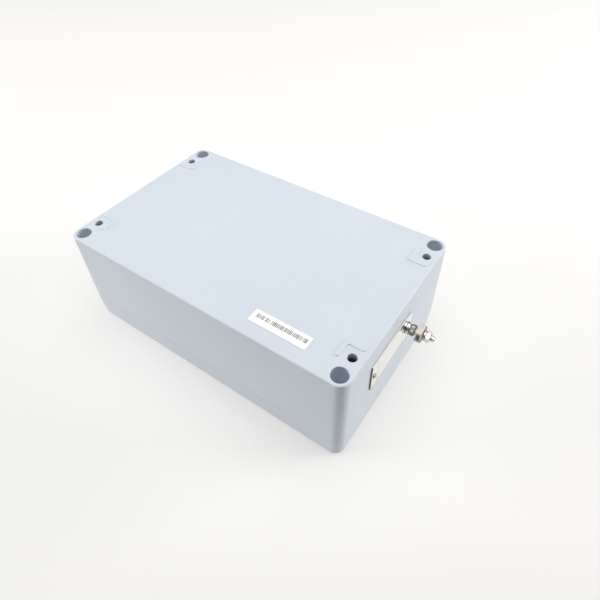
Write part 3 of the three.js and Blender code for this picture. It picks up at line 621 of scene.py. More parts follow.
def capacitor_sleeve():
    """Shrunk sleeve with a pale broken stripe down one side."""
    sleeve = Finish("capacitor_sleeve", coat_weight=0.4, coat_roughness=0.2)
    low, high = reach("capacitor_1")
    stripe = (sleeve.axis("Y") - (low.y + high.y) / 2).above((high.y - low.y) * 0.36)
    dashes = ((sleeve.axis("Z") / 5).fraction()).between(0.3, 0.34)
    cloud = sleeve.noise(2, 2, 0.5)
    tone = sleeve.mix(cloud, (0.012, 0.022, 0.055), (0.022, 0.040, 0.090))
    pale = sleeve.mix(dashes, (0.02, 0.035, 0.08), (0.55, 0.60, 0.68))
    tone = sleeve.mix(stripe, tone, pale)
    return sleeve.made(tone, 0.32 + 0.1 * cloud, cloud, 0.03, 0.4)


def lit_plastic(name, colour):
    lens = Finish(name, transmission_weight=0.35)
    return lens.made(colour, 0.18, lens.noise(0.4, 1, 0.5), 0.01, 0.3)


ENAMEL = painted_casting()
RUBBER = rubber()
STAINLESS = machined_steel("bright_stainless", (0.60, 0.585, 0.56), (0.78, 0.77, 0.75), 0.20, (1, 0.12, 1))
TURNED_STEEL = machined_steel("turned_stainless", (0.58, 0.57, 0.55), (0.74, 0.73, 0.71), 0.22, (1, 1, 0.3))
NUT_STEEL = machined_steel("bright_nut_steel", (0.68, 0.67, 0.64), (0.86, 0.85, 0.82), 0.17, (1, 1, 0.3))
SADDLE_TONES = (0.47, 0.43, 0.39), (0.66, 0.60, 0.555)
SADDLE_STEEL = machined_steel("passivated_stainless", *SADDLE_TONES, 0.30, (1, 0.2, 1))
DARK_STEEL = dark_steel()
POLISHED = polished_plate()
LABEL = label_paper()
POLYAMIDE = moulded_plastic("grey_polyamide", (0.065, 0.070, 0.075), (0.095, 0.10, 0.108), 0.48)
BLACK_PLASTIC = moulded_plastic("black_moulding", (0.012, 0.012, 0.013), (0.026, 0.026, 0.028), 0.42)
EPOXY = moulded_plastic("black_epoxy", (0.010, 0.010, 0.011), (0.020, 0.020, 0.021), 0.55, 0.2)
FUSE_PLASTIC = moulded_plastic("amber_fuse", (0.72, 0.36, 0.02), (0.86, 0.48, 0.04), 0.22, 0.6)
BOARD_MASK = board_mask()
COPPER = enamelled_copper()
FERRITE = moulded_plastic("grey_ferrite", (0.07, 0.07, 0.072), (0.11, 0.11, 0.112), 0.6)
SLEEVE = capacitor_sleeve()
ALUMINIUM = machined_steel("bare_aluminium", (0.66, 0.67, 0.69), (0.80, 0.81, 0.83), 0.26, (0.1, 1, 1))
TINNED = machined_steel("tinned_brass", (0.66, 0.65, 0.61), (0.80, 0.79, 0.75), 0.24)
BUTTON_RED = moulded_plastic("red_button", (0.48, 0.04, 0.03), (0.60, 0.06, 0.045), 0.3)
CERAMIC = moulded_plastic("tan_ceramic", (0.40, 0.30, 0.19), (0.52, 0.41, 0.28), 0.45)
GREEN_LENS = lit_plastic("green_lens", (0.05, 0.55, 0.12))
AMBER_LENS = lit_plastic("amber_lens", (0.80, 0.40, 0.04))
RED_LENS = lit_plastic("red_lens", (0.70, 0.05, 0.04))


# ---------- Making a piece ----------

SMOOTH_BELOW = math.radians(34)
STEEL_SLOT = "stainless_steel"


def piece(name, shape, finish, replaces=(), body="base", place=None):
    """One named object: its place is in its mesh, and it rides on a body of the model."""
    if place is not None:
        moved(shape, place)
    bmesh.ops.scale(shape, vec=(MM, MM, MM), verts=shape.verts)
    mesh = mesh_of(shape, name)
    mesh.shade_smooth()
    mesh.set_sharp_from_angle(angle=SMOOTH_BELOW)
    mesh.materials.append(finish)
    item = put_in_scene(name, mesh)
    even = item.modifiers.new("even_normals", "WEIGHTED_NORMAL")
    even.keep_sharp = True
    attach(item, body)
    if replaces:
        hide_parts(*replaces)


def stud_piece(name, shape, finish, node, body="base"):
    """A piece drawn along Z and laid along the earth stud."""
    piece(name, moved(shape, ALONG_X), finish, [node], body, STUD)


def board_reach(node):
    """Lowest and highest corner of a node in the board's axes, and its middle in X and in Y."""
    low, high = reach(node, BOARD)
    return low, high, (low.x + high.x) / 2, (low.y + high.y) / 2


def board_piece(name, shape, finish, replaces=(), body="base"):
    piece(name, shape, finish, replaces, body, BOARD)


# ---------- Enclosure ----------


def drafted_block(low, high, edge_round, round_level, direction):
    """The outer block of the base or lid, its sides leaning in away from the parting line."""
    shape = block((-HALF_LENGTH, -HALF_WIDTH, low), (HALF_LENGTH, HALF_WIDTH, high))
    round_along(shape, Z, CORNER_RADIUS, 12)
    round_at(shape, Z, round_level, edge_round, 5)
    for vert in shape.verts:
        lean = direction * math.tan(DRAFT) * (vert.co.z - PARTING_Z)
        vert.co.x -= math.copysign(lean, vert.co.x)
        vert.co.y -= math.copysign(lean, vert.co.y)
    return shape


def hollow_prism(offset, low, high):
    """The base's hollow, which steps in round the four corner columns, grown by an offset."""
    end_x = HALF_LENGTH - WALL + offset
    side_y = HALF_WIDTH - WALL + offset
    column_x, column_y = COLUMN[0] + offset, COLUMN[1] + offset
    quarter = [(end_x, column_y), (column_x, column_y), (column_x, side_y)]
    points = []
    for sign_x, sign_y in CORNERS:
        step = [(sign_x * x, sign_y * y) for x, y in quarter]
        points += step if sign_x * sign_y > 0 else step[::-1]
    shape = prism(points, low, high)
    return round_along(shape, Z, HOLLOW_RADIUS, 6)


def l_rib(side_x, side_y):
    """A raised L on the back, over the corner of a column."""
    x, y = COLUMN
    w, n = RIB_WIDTH, RIB_LENGTH
    outline = [(x, y), (x + n, y), (x + n, y + w), (x + w, y + w), (x + w, y + n), (x, y + n)]
    shape = prism([(side_x * a, side_y * b) for a, b in outline], TOP_Z - 0.5, RIB_TOP_Z)

    def from_bend(edge):
        spot = edge.verts[0].co
        return max(abs(spot.x) - x, abs(spot.y) - y)

    arm_ends = [e for e in edges_along(shape, Z) if from_bend(e) > w + 1]
    round_edges(shape, arm_ends, 1.6, 6)
    bend = [e for e in edges_along(shape, Z) if from_bend(e) < w + 0.1]
    round_edges(shape, bend, 1.2, 5)
    return round_at(shape, Z, RIB_TOP_Z, 0.62, 6)


def housing():
    ceiling_z = TOP_Z - WALL
    seat_z = TOP_Z - FIXING_SEAT
    shape = drafted_block(RIM_Z, TOP_Z, BACK_EDGE_ROUND, TOP_Z, 1)
    shape = carved(shape, hollow_prism(0, RIM_Z - PAST, ceiling_z))
    board = reach("circuit_board")[1]
    bosses = at_corners(board.x - BOARD_HOLE_INSET, board.y - BOARD_HOLE_INSET)
    spots = zip(CORNERS, bosses, at_corners(*SCREW), at_corners(*FIXING))
    for corner, boss_at, screw_at, fixing_at in spots:
        boss = rod(BOSS_RADIUS, board.z + 0.2, ceiling_z + 1)
        shape = joined(shape, l_rib(*corner), shifted(boss, *boss_at))
        pocket_floor = TOP_Z - POCKET_DEPTH
        pocket = flared_hole(POCKET_RADIUS, pocket_floor, TOP_Z, rim=0.45, floor_round=1.0, segments=64)
        fixing = flared_hole(FIXING_RADIUS, seat_z - PAST, TOP_Z, rim=0.35)
        channel = rod(CHANNEL_RADIUS, RIM_Z - PAST, seat_z)
        screw_hole = rod(SCREW_HOLE_RADIUS, RIM_Z - PAST, RIM_Z + SCREW_HOLE_DEPTH)
        shape = carved(shape, shifted(pocket, *screw_at), shifted(fixing, *fixing_at))
        shape = carved(shape, shifted(channel, *fixing_at), shifted(screw_hole, *screw_at))
    for radius, place in [(STUD_CLEARANCE, STUD)] + [(GLAND_HOLE_RADIUS, p) for p in GLANDS.values()]:
        shape = carved(shape, moved(rod(radius, -10, 5), place @ ALONG_X))
    piece("housing", shape, ENAMEL, ["base_housing"])


def lid_cover():
    top_z = reach("lid")[1].z
    shape = drafted_block(0, top_z, LID_EDGE_ROUND, 0, -1)
    inner, outer, depth = 0.4, 3.6, 3.2
    groove = carved(hollow_prism(outer, top_z - depth, top_z + 1), hollow_prism(inner, top_z - 4, top_z + 2))
    shape = carved(shape, hollow_prism(-LID_LEDGE, WALL, top_z + PAST), groove)
    for spot in at_corners(*SCREW):
        recess = flared_hole(LID_RECESS_RADIUS, -LID_RECESS_DEPTH, 0, rim=0.5, floor_round=0.4, segments=64)
        hole = rod(SCREW_HOLE_RADIUS, 5, top_z + PAST)
        shape = carved(shape, shifted(moved(recess, TURNED_OVER), *spot), shifted(hole, *spot))
    piece("lid_cover", shape, ENAMEL, ["lid"], "lid")
    low, high = reach("lid_gasket")
    slack, top_round = 0.3, 0.7
    core = hollow_prism(inner + slack, low.z - PAST, high.z + PAST)
    cord = round_at(carved(hollow_prism(outer - slack, low.z, high.z), core), Z, high.z, top_round)
    piece("gasket_cord", cord, RUBBER, ["lid_gasket"], "lid")


def lid_screws():
    for i, spot in enumerate(at_corners(*SCREW), 1):
        node, seal_node = f"lid_screw_{i}", f"lid_screw_seal_{i}"
        place = Matrix.Translation((*spot, 0))
        low, high = reach(node, place)
        head_height, neck_height, across_flats, socket_depth = 5.0, 1.5, 5.0, 2.6
        head_top = low.z + head_height
        neck_top = head_top + neck_height
        profile = [(0, low.z)]
        profile += arc(high.x - 0.5, low.z + 0.5, 0.5, -90, 0, 3)
        profile += arc(high.x - 0.2, head_top - 0.2, 0.2, 0, 90, 2)
        profile += [(LID_SCREW_RADIUS, head_top), (LID_SCREW_RADIUS, neck_top), (0, neck_top)]
        socket = hexagon_across(across_flats, low.z - PAST, low.z + socket_depth, 0.1)
        mouth = low.z + 0.35
        funnel = turned([(0, low.z - PAST), (3.9, low.z - PAST), (2.6, mouth), (0, mouth)])
        head = carved(turned(profile, 64), socket, funnel)
        shape = gathered(head, threaded_rod(LID_SCREW_RADIUS, head_top + 0.5, high.z, LID_THREAD))
        piece(f"captive_screw_{i}", shape, TURNED_STEEL, [node], node, place)
        low, high = reach(seal_node, place)
        cord = (high.z - low.z) / 2
        seal = torus(high.x - cord, cord * 0.98, (low.z + high.z) / 2)
        piece(f"seal_ring_{i}", seal, RUBBER, [seal_node], seal_node, place)


def part_label():
    low, high = reach("part_label")
    shape = block(low, high)
    round_along(shape, Z, 1.0, 5)
    round_at(shape, Z, high.z, 0.05, 2)
    piece("printed_label", shape, LABEL, ["part_label"])


# ---------- Nameplate and earth stud ----------


def nameplate():
    low, high = reach("nameplate", STUD)
    shape = block(low, high)
    round_along(shape, X, 1.4, 5)
    round_at(shape, X, high.x, 0.3)

    near_margin, far_margin, edge_margin = 8.2, 12.5, 2.2

    def panel(inset, start, end, radius):
        near = (high.x + start, low.y + near_margin + inset, low.z + edge_margin + inset)
        far = (high.x + end, high.y - far_margin - inset, high.z - edge_margin - inset)
        return round_along(block(near, far), X, radius, 4)

    line_width, line_depth = 0.6, 0.05
    line = carved(panel(0, -line_depth, 1, 1.2), panel(line_width, -1, 2, 0.9))
    shape = carved(shape, line, moved(rod(STUD_CLEARANCE, -1, 5), ALONG_X))
    piece("bright_nameplate", shape, POLISHED, ["nameplate"], place=STUD)
    rivet_low, rivet_high = reach("nameplate_rivet", STUD)
    head_low, top = high.x + 0.2, rivet_high.x
    shank, head, pin_hole = 1.5, 2.05, 0.75
    profile = [(0, rivet_low.x), (shank, rivet_low.x), (shank, head_low), (head, head_low)]
    profile += arc(0, head_low, head, 15, 75, 4, top - head_low)
    rivet = carved(turned(profile + [(0, top)], 40), rod(pin_hole, top - 1.3, top + PAST))
    rivet = shifted(moved(rivet, ALONG_X), y=(rivet_low.y + rivet_high.y) / 2)
    piece("plate_rivet", rivet, STAINLESS, ["nameplate_rivet"], place=STUD)


def toothed_washer(low, high, outer, bore):
    teeth = 12
    points = []
    for i in range(teeth):
        start = FULL_TURN * i / teeth
        for share, radius in ((0.0, 0.84), (0.12, 1.0), (0.5, 1.0), (0.62, 0.84)):
            turn = start + share * FULL_TURN / teeth
            points.append((outer * radius * math.cos(turn), outer * radius * math.sin(turn)))
    shape = prism(points, low, high)
    round_at(shape, Z, high, 0.1, 2)
    return carved(shape, rod(bore, low - PAST, high + PAST))


def spring_washer(low, high, outer, bore):
    """A split ring, one end lifted clear of the other."""
    steps = 44
    gap = math.radians(9)
    edge = 0.12
    lift = 0.22 * (high - low)
    flat = high - lift
    corners = [(bore, low + edge), (bore + edge, low), (outer - edge, low), (outer, low + edge)]
    corners += [(outer, flat - edge), (outer - edge, flat), (bore + edge, flat), (bore, flat - edge)]
    return coil(corners, FULL_TURN - gap, steps, lift / steps)


def saddle(low, high):
    """A square cup: a plate outside, with a flange above and below that reach towards the wall."""
    plate_from = high.x - 1.8
    flange = 1.7
    outline = [(low.x, low.z), (high.x, low.z), (high.x, high.z), (low.x, high.z)]
    outline += [(low.x, high.z - flange), (plate_from, high.z - flange)]
    outline += [(plate_from, low.z + flange), (low.x, low.z + flange)]
    shape = prism(outline, low.y, high.y)
    for level, radius, segments in ((high.x, 1.3, 5), (plate_from, 0.5, 3)):
        bends = [e for e in edges_along(shape, Z) if abs(e.verts[0].co.x - level) < 0.01]
        round_edges(shape, bends, radius, segments)
    round_edges(shape, edges_at(shape, Z, low.y) + edges_at(shape, Z, high.y), 0.18, 2)
    shape = moved(shape, Matrix.Rotation(math.pi / 2, 4, "X"))
    return carved(shape, moved(rod(STUD_CLEARANCE, -5, 30), ALONG_X))


def stud_ends(node):
    low, high = reach(node, STUD)
    return low.x, high.x, (high.y - low.y) / 2


def earth_stud():
    loose = STUD_BORE + 0.15
    low, high, radius = stud_ends("earth_stud")
    stud_piece("threaded_stud", threaded_rod(radius, low, high, STUD_THREAD), NUT_STEEL, "earth_stud")
    for name, node in (("plain_washer", "earth_plain_washer"), ("inner_washer", "inner_earth_washer")):
        low, high, radius = stud_ends(node)
        stud_piece(name, ring(loose, radius, low, high, 0.18), STAINLESS, node)
    node = "earth_toothed_washer"
    low, high, radius = stud_ends(node)
    stud_piece("toothed_washer", toothed_washer(low, high, radius, loose), STAINLESS, node)
    nuts = (
        ("lock_nut", "earth_lock_nut", "base", DARK_STEEL, "dark_steel"),
        ("inner_nut", "inner_earth_nut", "base", TURNED_STEEL, STEEL_SLOT),
        ("clamp_nut", "earth_clamp_nut", "earth_clamp_nut", NUT_STEEL, STEEL_SLOT),
    )
    for name, node, body, finish, slot in nuts:
        low, high, _ = stud_ends(node)
        stud_piece(name, hex_nut(STUD_NUT_FLATS, low, high, STUD_BORE), finish, node, body)
    node = "earth_clamp_saddle"
    shape = saddle(*reach(node, STUD))
    piece("clamp_saddle", shape, SADDLE_STEEL, [node], "earth_saddle", STUD)
    node = "earth_spring_washer"
    low, high, radius = stud_ends(node)
    stud_piece("spring_washer", spring_washer(low, high, radius, loose), STAINLESS, node, body=node)


# ---------- Cable glands ----------


def dome_nut(low, high):
    past_corner = GLAND_FLATS / math.sqrt(3) + 0.02
    tip_radius, dome = 7.6, 8.0
    profile = [(0, low - PAST), (10.6, low - PAST), (10.6, low), (past_corner, low + 0.9)]
    profile += arc(tip_radius, high - dome, GLAND_FLATS / math.sqrt(3) - tip_radius, 0, 90, 8, dome)
    blank = hexagon_across(GLAND_FLATS, low, high, 0.5)
    shape = combined(blank, turned(profile + [(0, high)], 72), "INTERSECT")
    thread, throat, mouth, crown = 7.7, 5.3, 5.9, 6.0
    bore = [(0, low - PAST), (thread, low - PAST), (thread, high - crown), (throat, high - crown)]
    bore += [(throat, high - 0.6), (mouth, high), (mouth, high + PAST), (0, high + PAST)]
    return carved(shape, turned(bore))


def gland(i):
    place = GLANDS[i]
    barrel, seal, cap, locknut = (f"gland_{part}_{i}" for part in ("body", "seal", "dome_nut", "locknut"))

    def gland_piece(name, shape, finish, node, body="base"):
        piece(f"gland_{name}_{i}", moved(shape, ALONG_X), finish, [node], body, place)

    low, high = reach(barrel, place)
    flange_from, flange_to = 0.3, 5.3
    bore, seal_seat, seat_depth, neck_radius, thread_end = 5.3, 6.3, 7.0, 7.4, -5.6
    core = GLAND_THREAD_RADIUS - 0.9
    bevel = [(0, flange_from - PAST), (12, flange_from - PAST), (12, flange_to - 1.1)]
    bevel += [(10.2, flange_to), (10.2, flange_to + PAST), (0, flange_to + PAST)]
    flange = hexagon_across(GLAND_FLATS, flange_from, flange_to, 0.6)
    flange = combined(flange, turned(bevel, 64), "INTERSECT")
    neck = rod(neck_radius, flange_from + 1, high.x, 0.3)
    body = joined(flange, neck, rod(core, low.x, flange_from + 1))
    body = carved(body, rod(bore, low.x - PAST, high.x + PAST))
    body = carved(body, rod(seal_seat, high.x - seat_depth, high.x + PAST))
    ridge = helix(core, GLAND_THREAD_RADIUS, low.x, thread_end, GLAND_THREAD, 32)
    gland_piece("barrel", gathered(body, ridge), POLYAMIDE, barrel)
    low, high = reach(seal, place)
    grommet = ring(4.05, high.z - 0.02, low.x, high.x, 0.45)
    gland_piece("grommet", grommet, RUBBER, seal, seal)
    low, high = reach(cap, place)
    gland_piece("cap", dome_nut(low.x, high.x - 0.01), POLYAMIDE, cap, cap)
    low, high = reach(locknut, place)
    nut = hex_nut(GLAND_FLATS, low.x, high.x, 8.05)
    gland_piece("backnut", nut, POLYAMIDE, locknut)


# ---------- Circuit board ----------


def pan_screw(head_radius, head_low, head_high, shank_radius, low, pitch, slot=False):
    """A screw with a domed head, cut with one slot or with a cross."""
    height = head_high - head_low
    profile = [(0, head_low), (head_radius, head_low), (head_radius, head_low + 0.35 * height)]
    profile += [
        (head_radius * (0.55 + 0.45 * math.cos(t)), head_low + height * (0.35 + 0.65 * math.sin(t)))
        for t in (0.3, 0.6, 0.9, 1.2, math.pi / 2)
    ]
    arm = head_radius + PAST if slot else head_radius * 1.15 / 2
    half_width = 0.31
    floor, above = head_high - 0.55 * height, head_high + PAST
    cuts = [bar(0, 0, arm, half_width, floor, above)]
    if not slot:
        cuts.append(bar(0, 0, half_width, arm, floor, above))
    head = carved(turned(profile + [(0, head_high)], 40), *cuts)
    neck_top = head_low + 0.1
    shank = [(0, low), (shank_radius - 0.35, low), (shank_radius - 0.3, neck_top), (0, neck_top)]
    ridge = helix(shank_radius - 0.32, shank_radius, low, head_low, pitch, 16)
    return gathered(head, turned(shank, 24), ridge)


def circuit_board():
    low, high = reach("circuit_board", BOARD)
    shape = block(low, high)
    round_along(shape, Z, 2.0, 5)
    for spot in at_corners(high.x - BOARD_HOLE_INSET, high.y - BOARD_HOLE_INSET):
        shape = carved(shape, shifted(rod(1.8, -3, 1), *spot))
    board_piece("bare_board", shape, BOARD_MASK, ["circuit_board"])
    for i in range(1, 5):
        node = f"board_screw_{i}"
        low, high, x, y = board_reach(node)
        screw = shifted(pan_screw(2.8, high.z - 2.2, high.z, 1.5, low.z, 0.5), x, y)
        board_piece(f"board_fixing_{i}", screw, TURNED_STEEL, [node])
    pads = [shifted(ring(1.85, 3.4, 0.01, 0.06, 0.01), *spot) for spot in at_corners(89, 46)]
    board_piece("fixing_pads", gathered(*pads), TINNED)


def terminal_block():
    low, high = reach("terminal_block", BOARD)
    ways = 6
    wall = 1.5
    base_top = low.z + 6.5
    shape = block(low, (high.x, high.y, base_top), 0.3)
    pitch = (high.y - low.y - wall) / ways
    for i in range(ways + 1):
        y = low.y + i * pitch
        shape = joined(shape, block((low.x, y, low.z), (high.x, y + wall, high.z), 0.25))
    middle_x = (low.x + high.x) / 2
    for i in range(ways):
        y = low.y + wall / 2 + (i + 0.5) * pitch
        shape = carved(shape, shifted(rod(2.05, base_top - 4.8, base_top + PAST), middle_x, y))
    board_piece("terminal_body", shape, BLACK_PLASTIC, ["terminal_block"])
    plates = []
    for i in range(1, ways + 1):
        node = f"terminal_screw_{i}"
        low, high = reach(node, BOARD)
        y = (low.y + high.y) / 2
        head_low = high.z - 2.2
        screw = shifted(pan_screw(3.4, head_low, high.z, 1.75, low.z, 0.6, slot=True), middle_x, y)
        board_piece(f"clamp_screw_{i}", screw, TURNED_STEEL, [node], node)
        plate = bar(middle_x, y, 4.6, 3.6, base_top + 0.02, head_low - 0.04, 0.05)
        plates.append(carved(plate, shifted(rod(2.1, base_top - PAST, head_low + PAST), middle_x, y)))
    board_piece("terminal_plates", gathered(*plates), TINNED)


def blade_fuse():
    low, high, x, y = board_reach("fuse_holder")
    fuse_low, fuse_high = reach("blade_fuse", BOARD)
    blades_x = (x - 7, x + 7)
    holder = block(low, high, 0.5)
    for at in blades_x:
        holder = carved(holder, bar(at, y, 2.8, 0.7, fuse_low.z - 0.3, high.z + PAST))
    board_piece("fuse_socket", holder, BLACK_PLASTIC, ["fuse_holder"])
    body_low = high.z + 0.2
    body = block((fuse_low.x, fuse_low.y, body_low), fuse_high, 0.7, 4)
    body = carved(body, bar(x, y, 3.2, 9, body_low + 3.2, fuse_high.z - 2.4, 0.6))
    waist = 0.7
    for start, end in ((fuse_low.x - PAST, fuse_low.x + waist), (fuse_high.x - waist, fuse_high.x + PAST)):
        body = carved(body, block((start, y - 1.4, body_low + 4), (end, y + 1.4, fuse_high.z - 1.5), 0.3))
    board_piece("fuse_body", body, FUSE_PLASTIC, ["blade_fuse"], "fuse")
    blades = [bar(at, y, 2.5, 0.4, fuse_low.z, body_low + 1, 0.15) for at in blades_x]
    link = bar(x, y, 6, 0.25, body_low + 4.4, body_low + 5.6, 0.1)
    board_piece("fuse_blades", gathered(*blades, link), TINNED, body="fuse")


def wire_loop(half_width, half_height, corner, wire):
    """One turn of wire round a squared section, in the XZ plane."""
    shape = bmesh.new()
    path = []
    for side_x, side_z, start in ((1, 1, 0), (-1, 1, 90), (-1, -1, 180), (1, -1, 270)):
        centre_x, centre_z = side_x * (half_width - corner), side_z * (half_height - corner)
        path += arc(centre_x, centre_z, corner, start, start + 90, 3)
    rings = []
    for i, (px, pz) in enumerate(path):
        ahead, behind = Vector(path[(i + 1) % len(path)]), Vector(path[i - 1])
        along = (ahead - behind).normalized()
        out = Vector((along.y, -along.x))
        circle = bmesh.ops.create_circle(shape, segments=8, radius=wire)["verts"]
        turn = Matrix(((out.x, 0, along.x, px), (0, 1, 0, 0), (out.y, 0, along.y, pz), (0, 0, 0, 1)))
        bmesh.ops.transform(shape, matrix=turn, verts=circle)
        rings.append([e for v in circle for e in v.link_edges])
    for i, current in enumerate(rings):
        following = rings[(i + 1) % len(rings)]
        bmesh.ops.bridge_loops(shape, edges=list(dict.fromkeys(current + following)))
    return settle(shape)


def power_inductor():
    low, high = reach("power_inductor", BOARD)
    centre = (low + high) / 2
    at = Matrix.Translation(centre)
    wire = 0.62
    outer, inner = high.x - centre.x - 2 * wire - 0.1, 7.6
    half = (high.z - low.z) / 2 - 2 * wire - 0.1
    core = moved(ring(inner, outer, -half, half, 1, 3), at)
    board_piece("inductor_core", core, FERRITE, ["power_inductor"])
    turns = 27
    wound = math.radians(300)
    loops = []
    for i in range(turns):
        loop = wire_loop((outer - inner) / 2 + wire, half + wire, 1.4, wire)
        turn = Matrix.Rotation(wound * (i - (turns - 1) / 2) / turns, 4, "Z")
        spot = turn @ Matrix.Translation(((outer + inner) / 2, 0, 0))
        loops.append(moved(loop, at @ spot))
    board_piece("inductor_winding", gathered(*loops), COPPER)


def capacitors():
    tops = []
    for i in range(1, 4):
        node = f"capacitor_{i}"
        low, high, x, y = board_reach(node)
        radius = (high.x - low.x) / 2
        profile = [(0, low.z), (radius - 0.6, low.z), (radius - 0.1, low.z + 0.6), (radius, low.z + 1.6)]
        profile += arc(radius + 0.55, low.z + 3.1, 0.9, 215, 145, 5)
        profile += [(radius, low.z + 4.6), (radius, high.z - 1.1)]
        profile += arc(radius - 0.9, high.z - 0.9, 0.9, 0, 80)
        profile += [(radius - 1.6, high.z - 0.02), (radius - 1.7, high.z - 0.3), (0, high.z - 0.3)]
        can = shifted(turned(profile, 56), x, y)
        board_piece(f"capacitor_can_{i}", can, SLEEVE, [node])
        top = rod(radius - 1.75, high.z - 0.5, high.z - 0.08, 0.1)
        for turn in (0, math.pi / 2):
            score = bar(0, 0, radius * 0.62, 0.2, high.z - 0.22, high.z + PAST)
            top = carved(top, moved(score, Matrix.Rotation(turn + 0.4, 4, "Z")))
        tops.append(shifted(top, x, y))
    board_piece("capacitor_tops", gathered(*tops), ALUMINIUM)


def power_stage():
    low, high = reach("heat_spreader", BOARD)
    shape = block(low, high, 0.3)
    fins = 15
    pitch = (high.x - low.x) / fins
    for i in range(fins):
        start, end = low.x + (i + 0.32) * pitch, low.x + (i + 0.68) * pitch
        shape = carved(shape, block((start, high.y - 1.9, low.z + 2), (end, high.y + PAST, high.z + PAST)))
    board_piece("finned_spreader", shape, ALUMINIUM, ["heat_spreader"])
    legs = []
    for i in range(1, 4):
        node = f"transistor_{i}"
        low, high, x, y = board_reach(node)
        body = block((low.x, low.y, low.z + 4), high, 0.35)
        face = Matrix.Translation((x - 3.2, low.y, high.z - 2.6)) @ Matrix.Rotation(math.pi / 2, 4, "X")
        body = carved(body, moved(rod(0.9, -0.25, 2), face))
        board_piece(f"transistor_body_{i}", body, EPOXY, [node])
        for leg in (-1, 0, 1):
            at = x + 2.54 * leg
            legs.append(bar(at, y, 0.45, 0.3, low.z, low.z + 4.4, 0.1))
    board_piece("transistor_legs", gathered(*legs), TINNED)


def control_chip():
    low, high, x, y = board_reach("control_chip")
    inset = 1.2
    body = block((low.x + inset, low.y + inset, low.z + 0.1), (high.x - inset, high.y - inset, high.z), 0.15)
    mark = shifted(rod(0.5, high.z - 0.08, high.z + PAST), low.x + 2.6, low.y + 2.6)
    board_piece("chip_body", carved(body, mark), EPOXY, ["control_chip"])
    pins = []
    for side in range(4):
        turn = Matrix.Translation((x, y, 0)) @ Matrix.Rotation(side * math.pi / 2, 4, "Z")
        for i in range(11):
            offset = (i - 5) * 0.95
            foot = block((offset - 0.2, -7.0, low.z), (offset + 0.2, -5.9, low.z + 0.2))
            riser = block((offset - 0.2, -6.1, low.z), (offset + 0.2, -5.7, low.z + 0.9))
            pins.append(moved(gathered(foot, riser), turn))
    board_piece("chip_pins", gathered(*pins), TINNED)


def test_button():
    low, high, x, y = board_reach("test_switch")
    button_low, button_high = reach("test_button", BOARD)
    case = carved(block(low, high, 0.4), shifted(rod(3.7, button_low.z - 0.5, high.z + PAST), x, y))
    pips = [shifted(rod(0.7, high.z - 0.3, high.z + PAST), x + a, y + b) for a, b in at_corners(4.6, 4.6)]
    board_piece("switch_case", carved(case, *pips), BLACK_PLASTIC, ["test_switch"])
    cap = shifted(rod(3.38, button_low.z, button_high.z, 0.45, 56), x, y)
    board_piece("button_cap", cap, BUTTON_RED, ["test_button"], "test_button")


CHIP_ROWS = [  # x, y, how many, pitch
    (-30, 14, 9, 5.2), (-30, 8, 7, 5.2), (18, 18, 8, 4.4),
    (20, -18, 9, 5.0), (28, 28, 6, 5.6), (66, 20, 5, 4.6),
]
LIGHTS = (("charge_light", GREEN_LENS, 22), ("battery_light", AMBER_LENS, 29), ("fault_light", RED_LENS, 36))


def small_parts():
    """Resistors, ceramic capacitors and status lights, in rows between the larger parts."""
    dice = random.Random(7)
    resistors, ceramics, ends = [], [], []
    for x, y, count, pitch in CHIP_ROWS:
        for i in range(count):
            if dice.random() < 0.14:
                continue
            at = (x + i * pitch, y)
            chips, height = (resistors, 0.55) if dice.random() < 0.5 else (ceramics, 0.95)
            chips.append(shifted(bar(0, 0, 1.0, 0.75, 0.06, height, 0.08, 2), *at))
            for end in (-1.35, 1.35):
                ends.append(shifted(bar(end, 0, 0.4, 0.78, 0.04, height + 0.02, 0.08, 2), *at))
    board_piece("chip_resistors", gathered(*resistors), EPOXY)
    board_piece("ceramic_chips", gathered(*ceramics), CERAMIC)
    board_piece("solder_ends", gathered(*ends), TINNED)
    for name, finish, y in LIGHTS:
        profile = [(0, 0.1), (2.0, 0.1), (2.0, 1.0), (1.55, 1.0)]
        profile += arc(0, 3.2, 1.55, 0, 75, 3)
        lens = turned(profile + [(0, 4.75)], 32)
        board_piece(name, shifted(lens, 84, y), finish)


# ---------- Camera, floor and light ----------

CAMERA_PLACE = Vector((0.190561, -0.207079, 0.329653))
CAMERA_AIM = Vector((0.042205, -0.000779, 0.045))
CAMERA_ROLL = math.radians(-1.587)
CAMERA_LENS = 27.89
SURROUND = (0.93, 0.93, 0.915)
FILL_SIZE = (1.44, 0.96)
FILL_COLOUR = (1.0, 0.955, 0.91)


def camera():
    data = bpy.data.cameras.new("camera")
    data.lens = CAMERA_LENS
    data.sensor_width = 36.0
    data.clip_start = 0.01
    item = put_in_scene("camera", data)
    back = (CAMERA_PLACE - CAMERA_AIM).normalized()
    across = Vector((0, 0, 1)).cross(back).normalized()
    turn = Matrix((across, back.cross(across), back)).transposed().to_4x4()
    item.matrix_world = Matrix.Translation(CAMERA_PLACE) @ turn @ Matrix.Rotation(CAMERA_ROLL, 4, "Z")
    bpy.context.scene.camera = item


def stage_sheet(name, half_size, finish, place):
    """A square sheet that belongs to the stage."""
    shape = bmesh.new()
    bmesh.ops.create_grid(shape, x_segments=1, y_segments=1, size=half_size)
    mesh = mesh_of(moved(shape, place), name)
    mesh.materials.append(finish)
    item = put_in_scene(name, mesh)
    return item


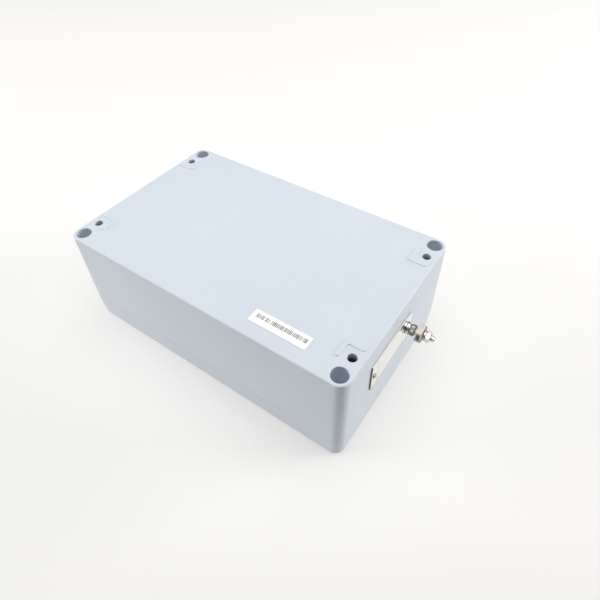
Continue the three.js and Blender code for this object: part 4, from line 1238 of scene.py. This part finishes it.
def studio_floor():
    """A pale, faintly lit paper floor, seen from above only, that fades into the backdrop far out."""
    paper = Finish("studio_paper", specular_ior_level=0.1, roughness=0.9, emission_strength=0.27)
    paper.set("Emission Color", SURROUND)
    tone = paper.noise(260, 2, 0.5)
    paper.set("Base Color", paper.mix(tone, (0.635, 0.633, 0.622), (0.65, 0.648, 0.638)))
    x, y = paper.axis("X"), paper.axis("Y")
    fade_from, fade_to = 800, 2000
    far = ((x * x + y * y) ** 0.5).between(fade_from, fade_to)
    under = paper.node("NewGeometry", out="Backfacing")
    paper.set("Alpha", (1 - far) * (1 - under))
    item = stage_sheet("studio_floor", 2.5, paper.material, Matrix.Identity(4))
    item.location.z = -0.0002


def softbox(name, place, size, power, colour=(1, 1, 1), glossy=True):
    """A lit rectangle, unseen by the camera, that points at the middle of the part."""
    data = bpy.data.lights.new(name, "AREA")
    data.shape = "RECTANGLE"
    data.size, data.size_y = size
    data.energy = power
    data.color = colour
    item = put_in_scene(name, data)
    item.visible_camera = False
    item.visible_glossy = glossy
    place, aim = Vector(place), Vector((0, 0, 0.05))
    turn = (aim - place).to_track_quat("-Z", "Y").to_matrix().to_4x4()
    item.matrix_world = Matrix.Translation(place) @ turn


def dark_card():
    """A dark card behind the camera, unseen itself, that deepens the corner nearest to it."""
    card = Finish("dark_card", base_color=(0.03, 0.03, 0.03), roughness=0.9).material
    turn = Matrix.Rotation(math.radians(38), 4, "Z") @ Matrix.Translation((0, -0.385, 0.2))
    item = stage_sheet("dark_card", 0.38, card, turn @ Matrix.Rotation(math.pi / 2, 4, "X"))
    item.visible_camera = False


def backdrop():
    """A pale surround that is seen, and half as bright in reflections, but lights nothing."""
    world = bpy.data.worlds.new("studio")
    world.use_nodes = True
    nodes, links = world.node_tree.nodes, world.node_tree.links
    surround = nodes["Background"]
    surround.inputs["Color"].default_value = (*SURROUND, 1)
    ray = nodes.new("ShaderNodeLightPath")
    strength = nodes.new("ShaderNodeMath")
    strength.operation = "MULTIPLY_ADD"
    strength.inputs[1].default_value = 0.45
    links.new(ray.outputs["Is Glossy Ray"], strength.inputs[0])
    links.new(ray.outputs["Is Camera Ray"], strength.inputs[2])
    links.new(strength.outputs[0], surround.inputs["Strength"])
    bpy.context.scene.world = world


def studio_light():
    backdrop()
    softbox("overhead", (0.1, -0.1, 2.6), (3.6, 3.6), 97)
    softbox("left_fill", (-2.24, -1.44, 0.64), FILL_SIZE, 45, FILL_COLOUR, False)
    softbox("right_fill", (1.92, 1.76, 0.8), FILL_SIZE, 50, FILL_COLOUR, False)
    dark_card()
    bpy.context.scene.view_settings.view_transform = "Standard"


camera()
studio_floor()
studio_light()
housing()
lid_cover()
lid_screws()
part_label()
nameplate()
earth_stud()
for number in GLANDS:
    gland(number)
circuit_board()
terminal_block()
blade_fuse()
power_inductor()
capacitors()
power_stage()
control_chip()
test_button()
small_parts()
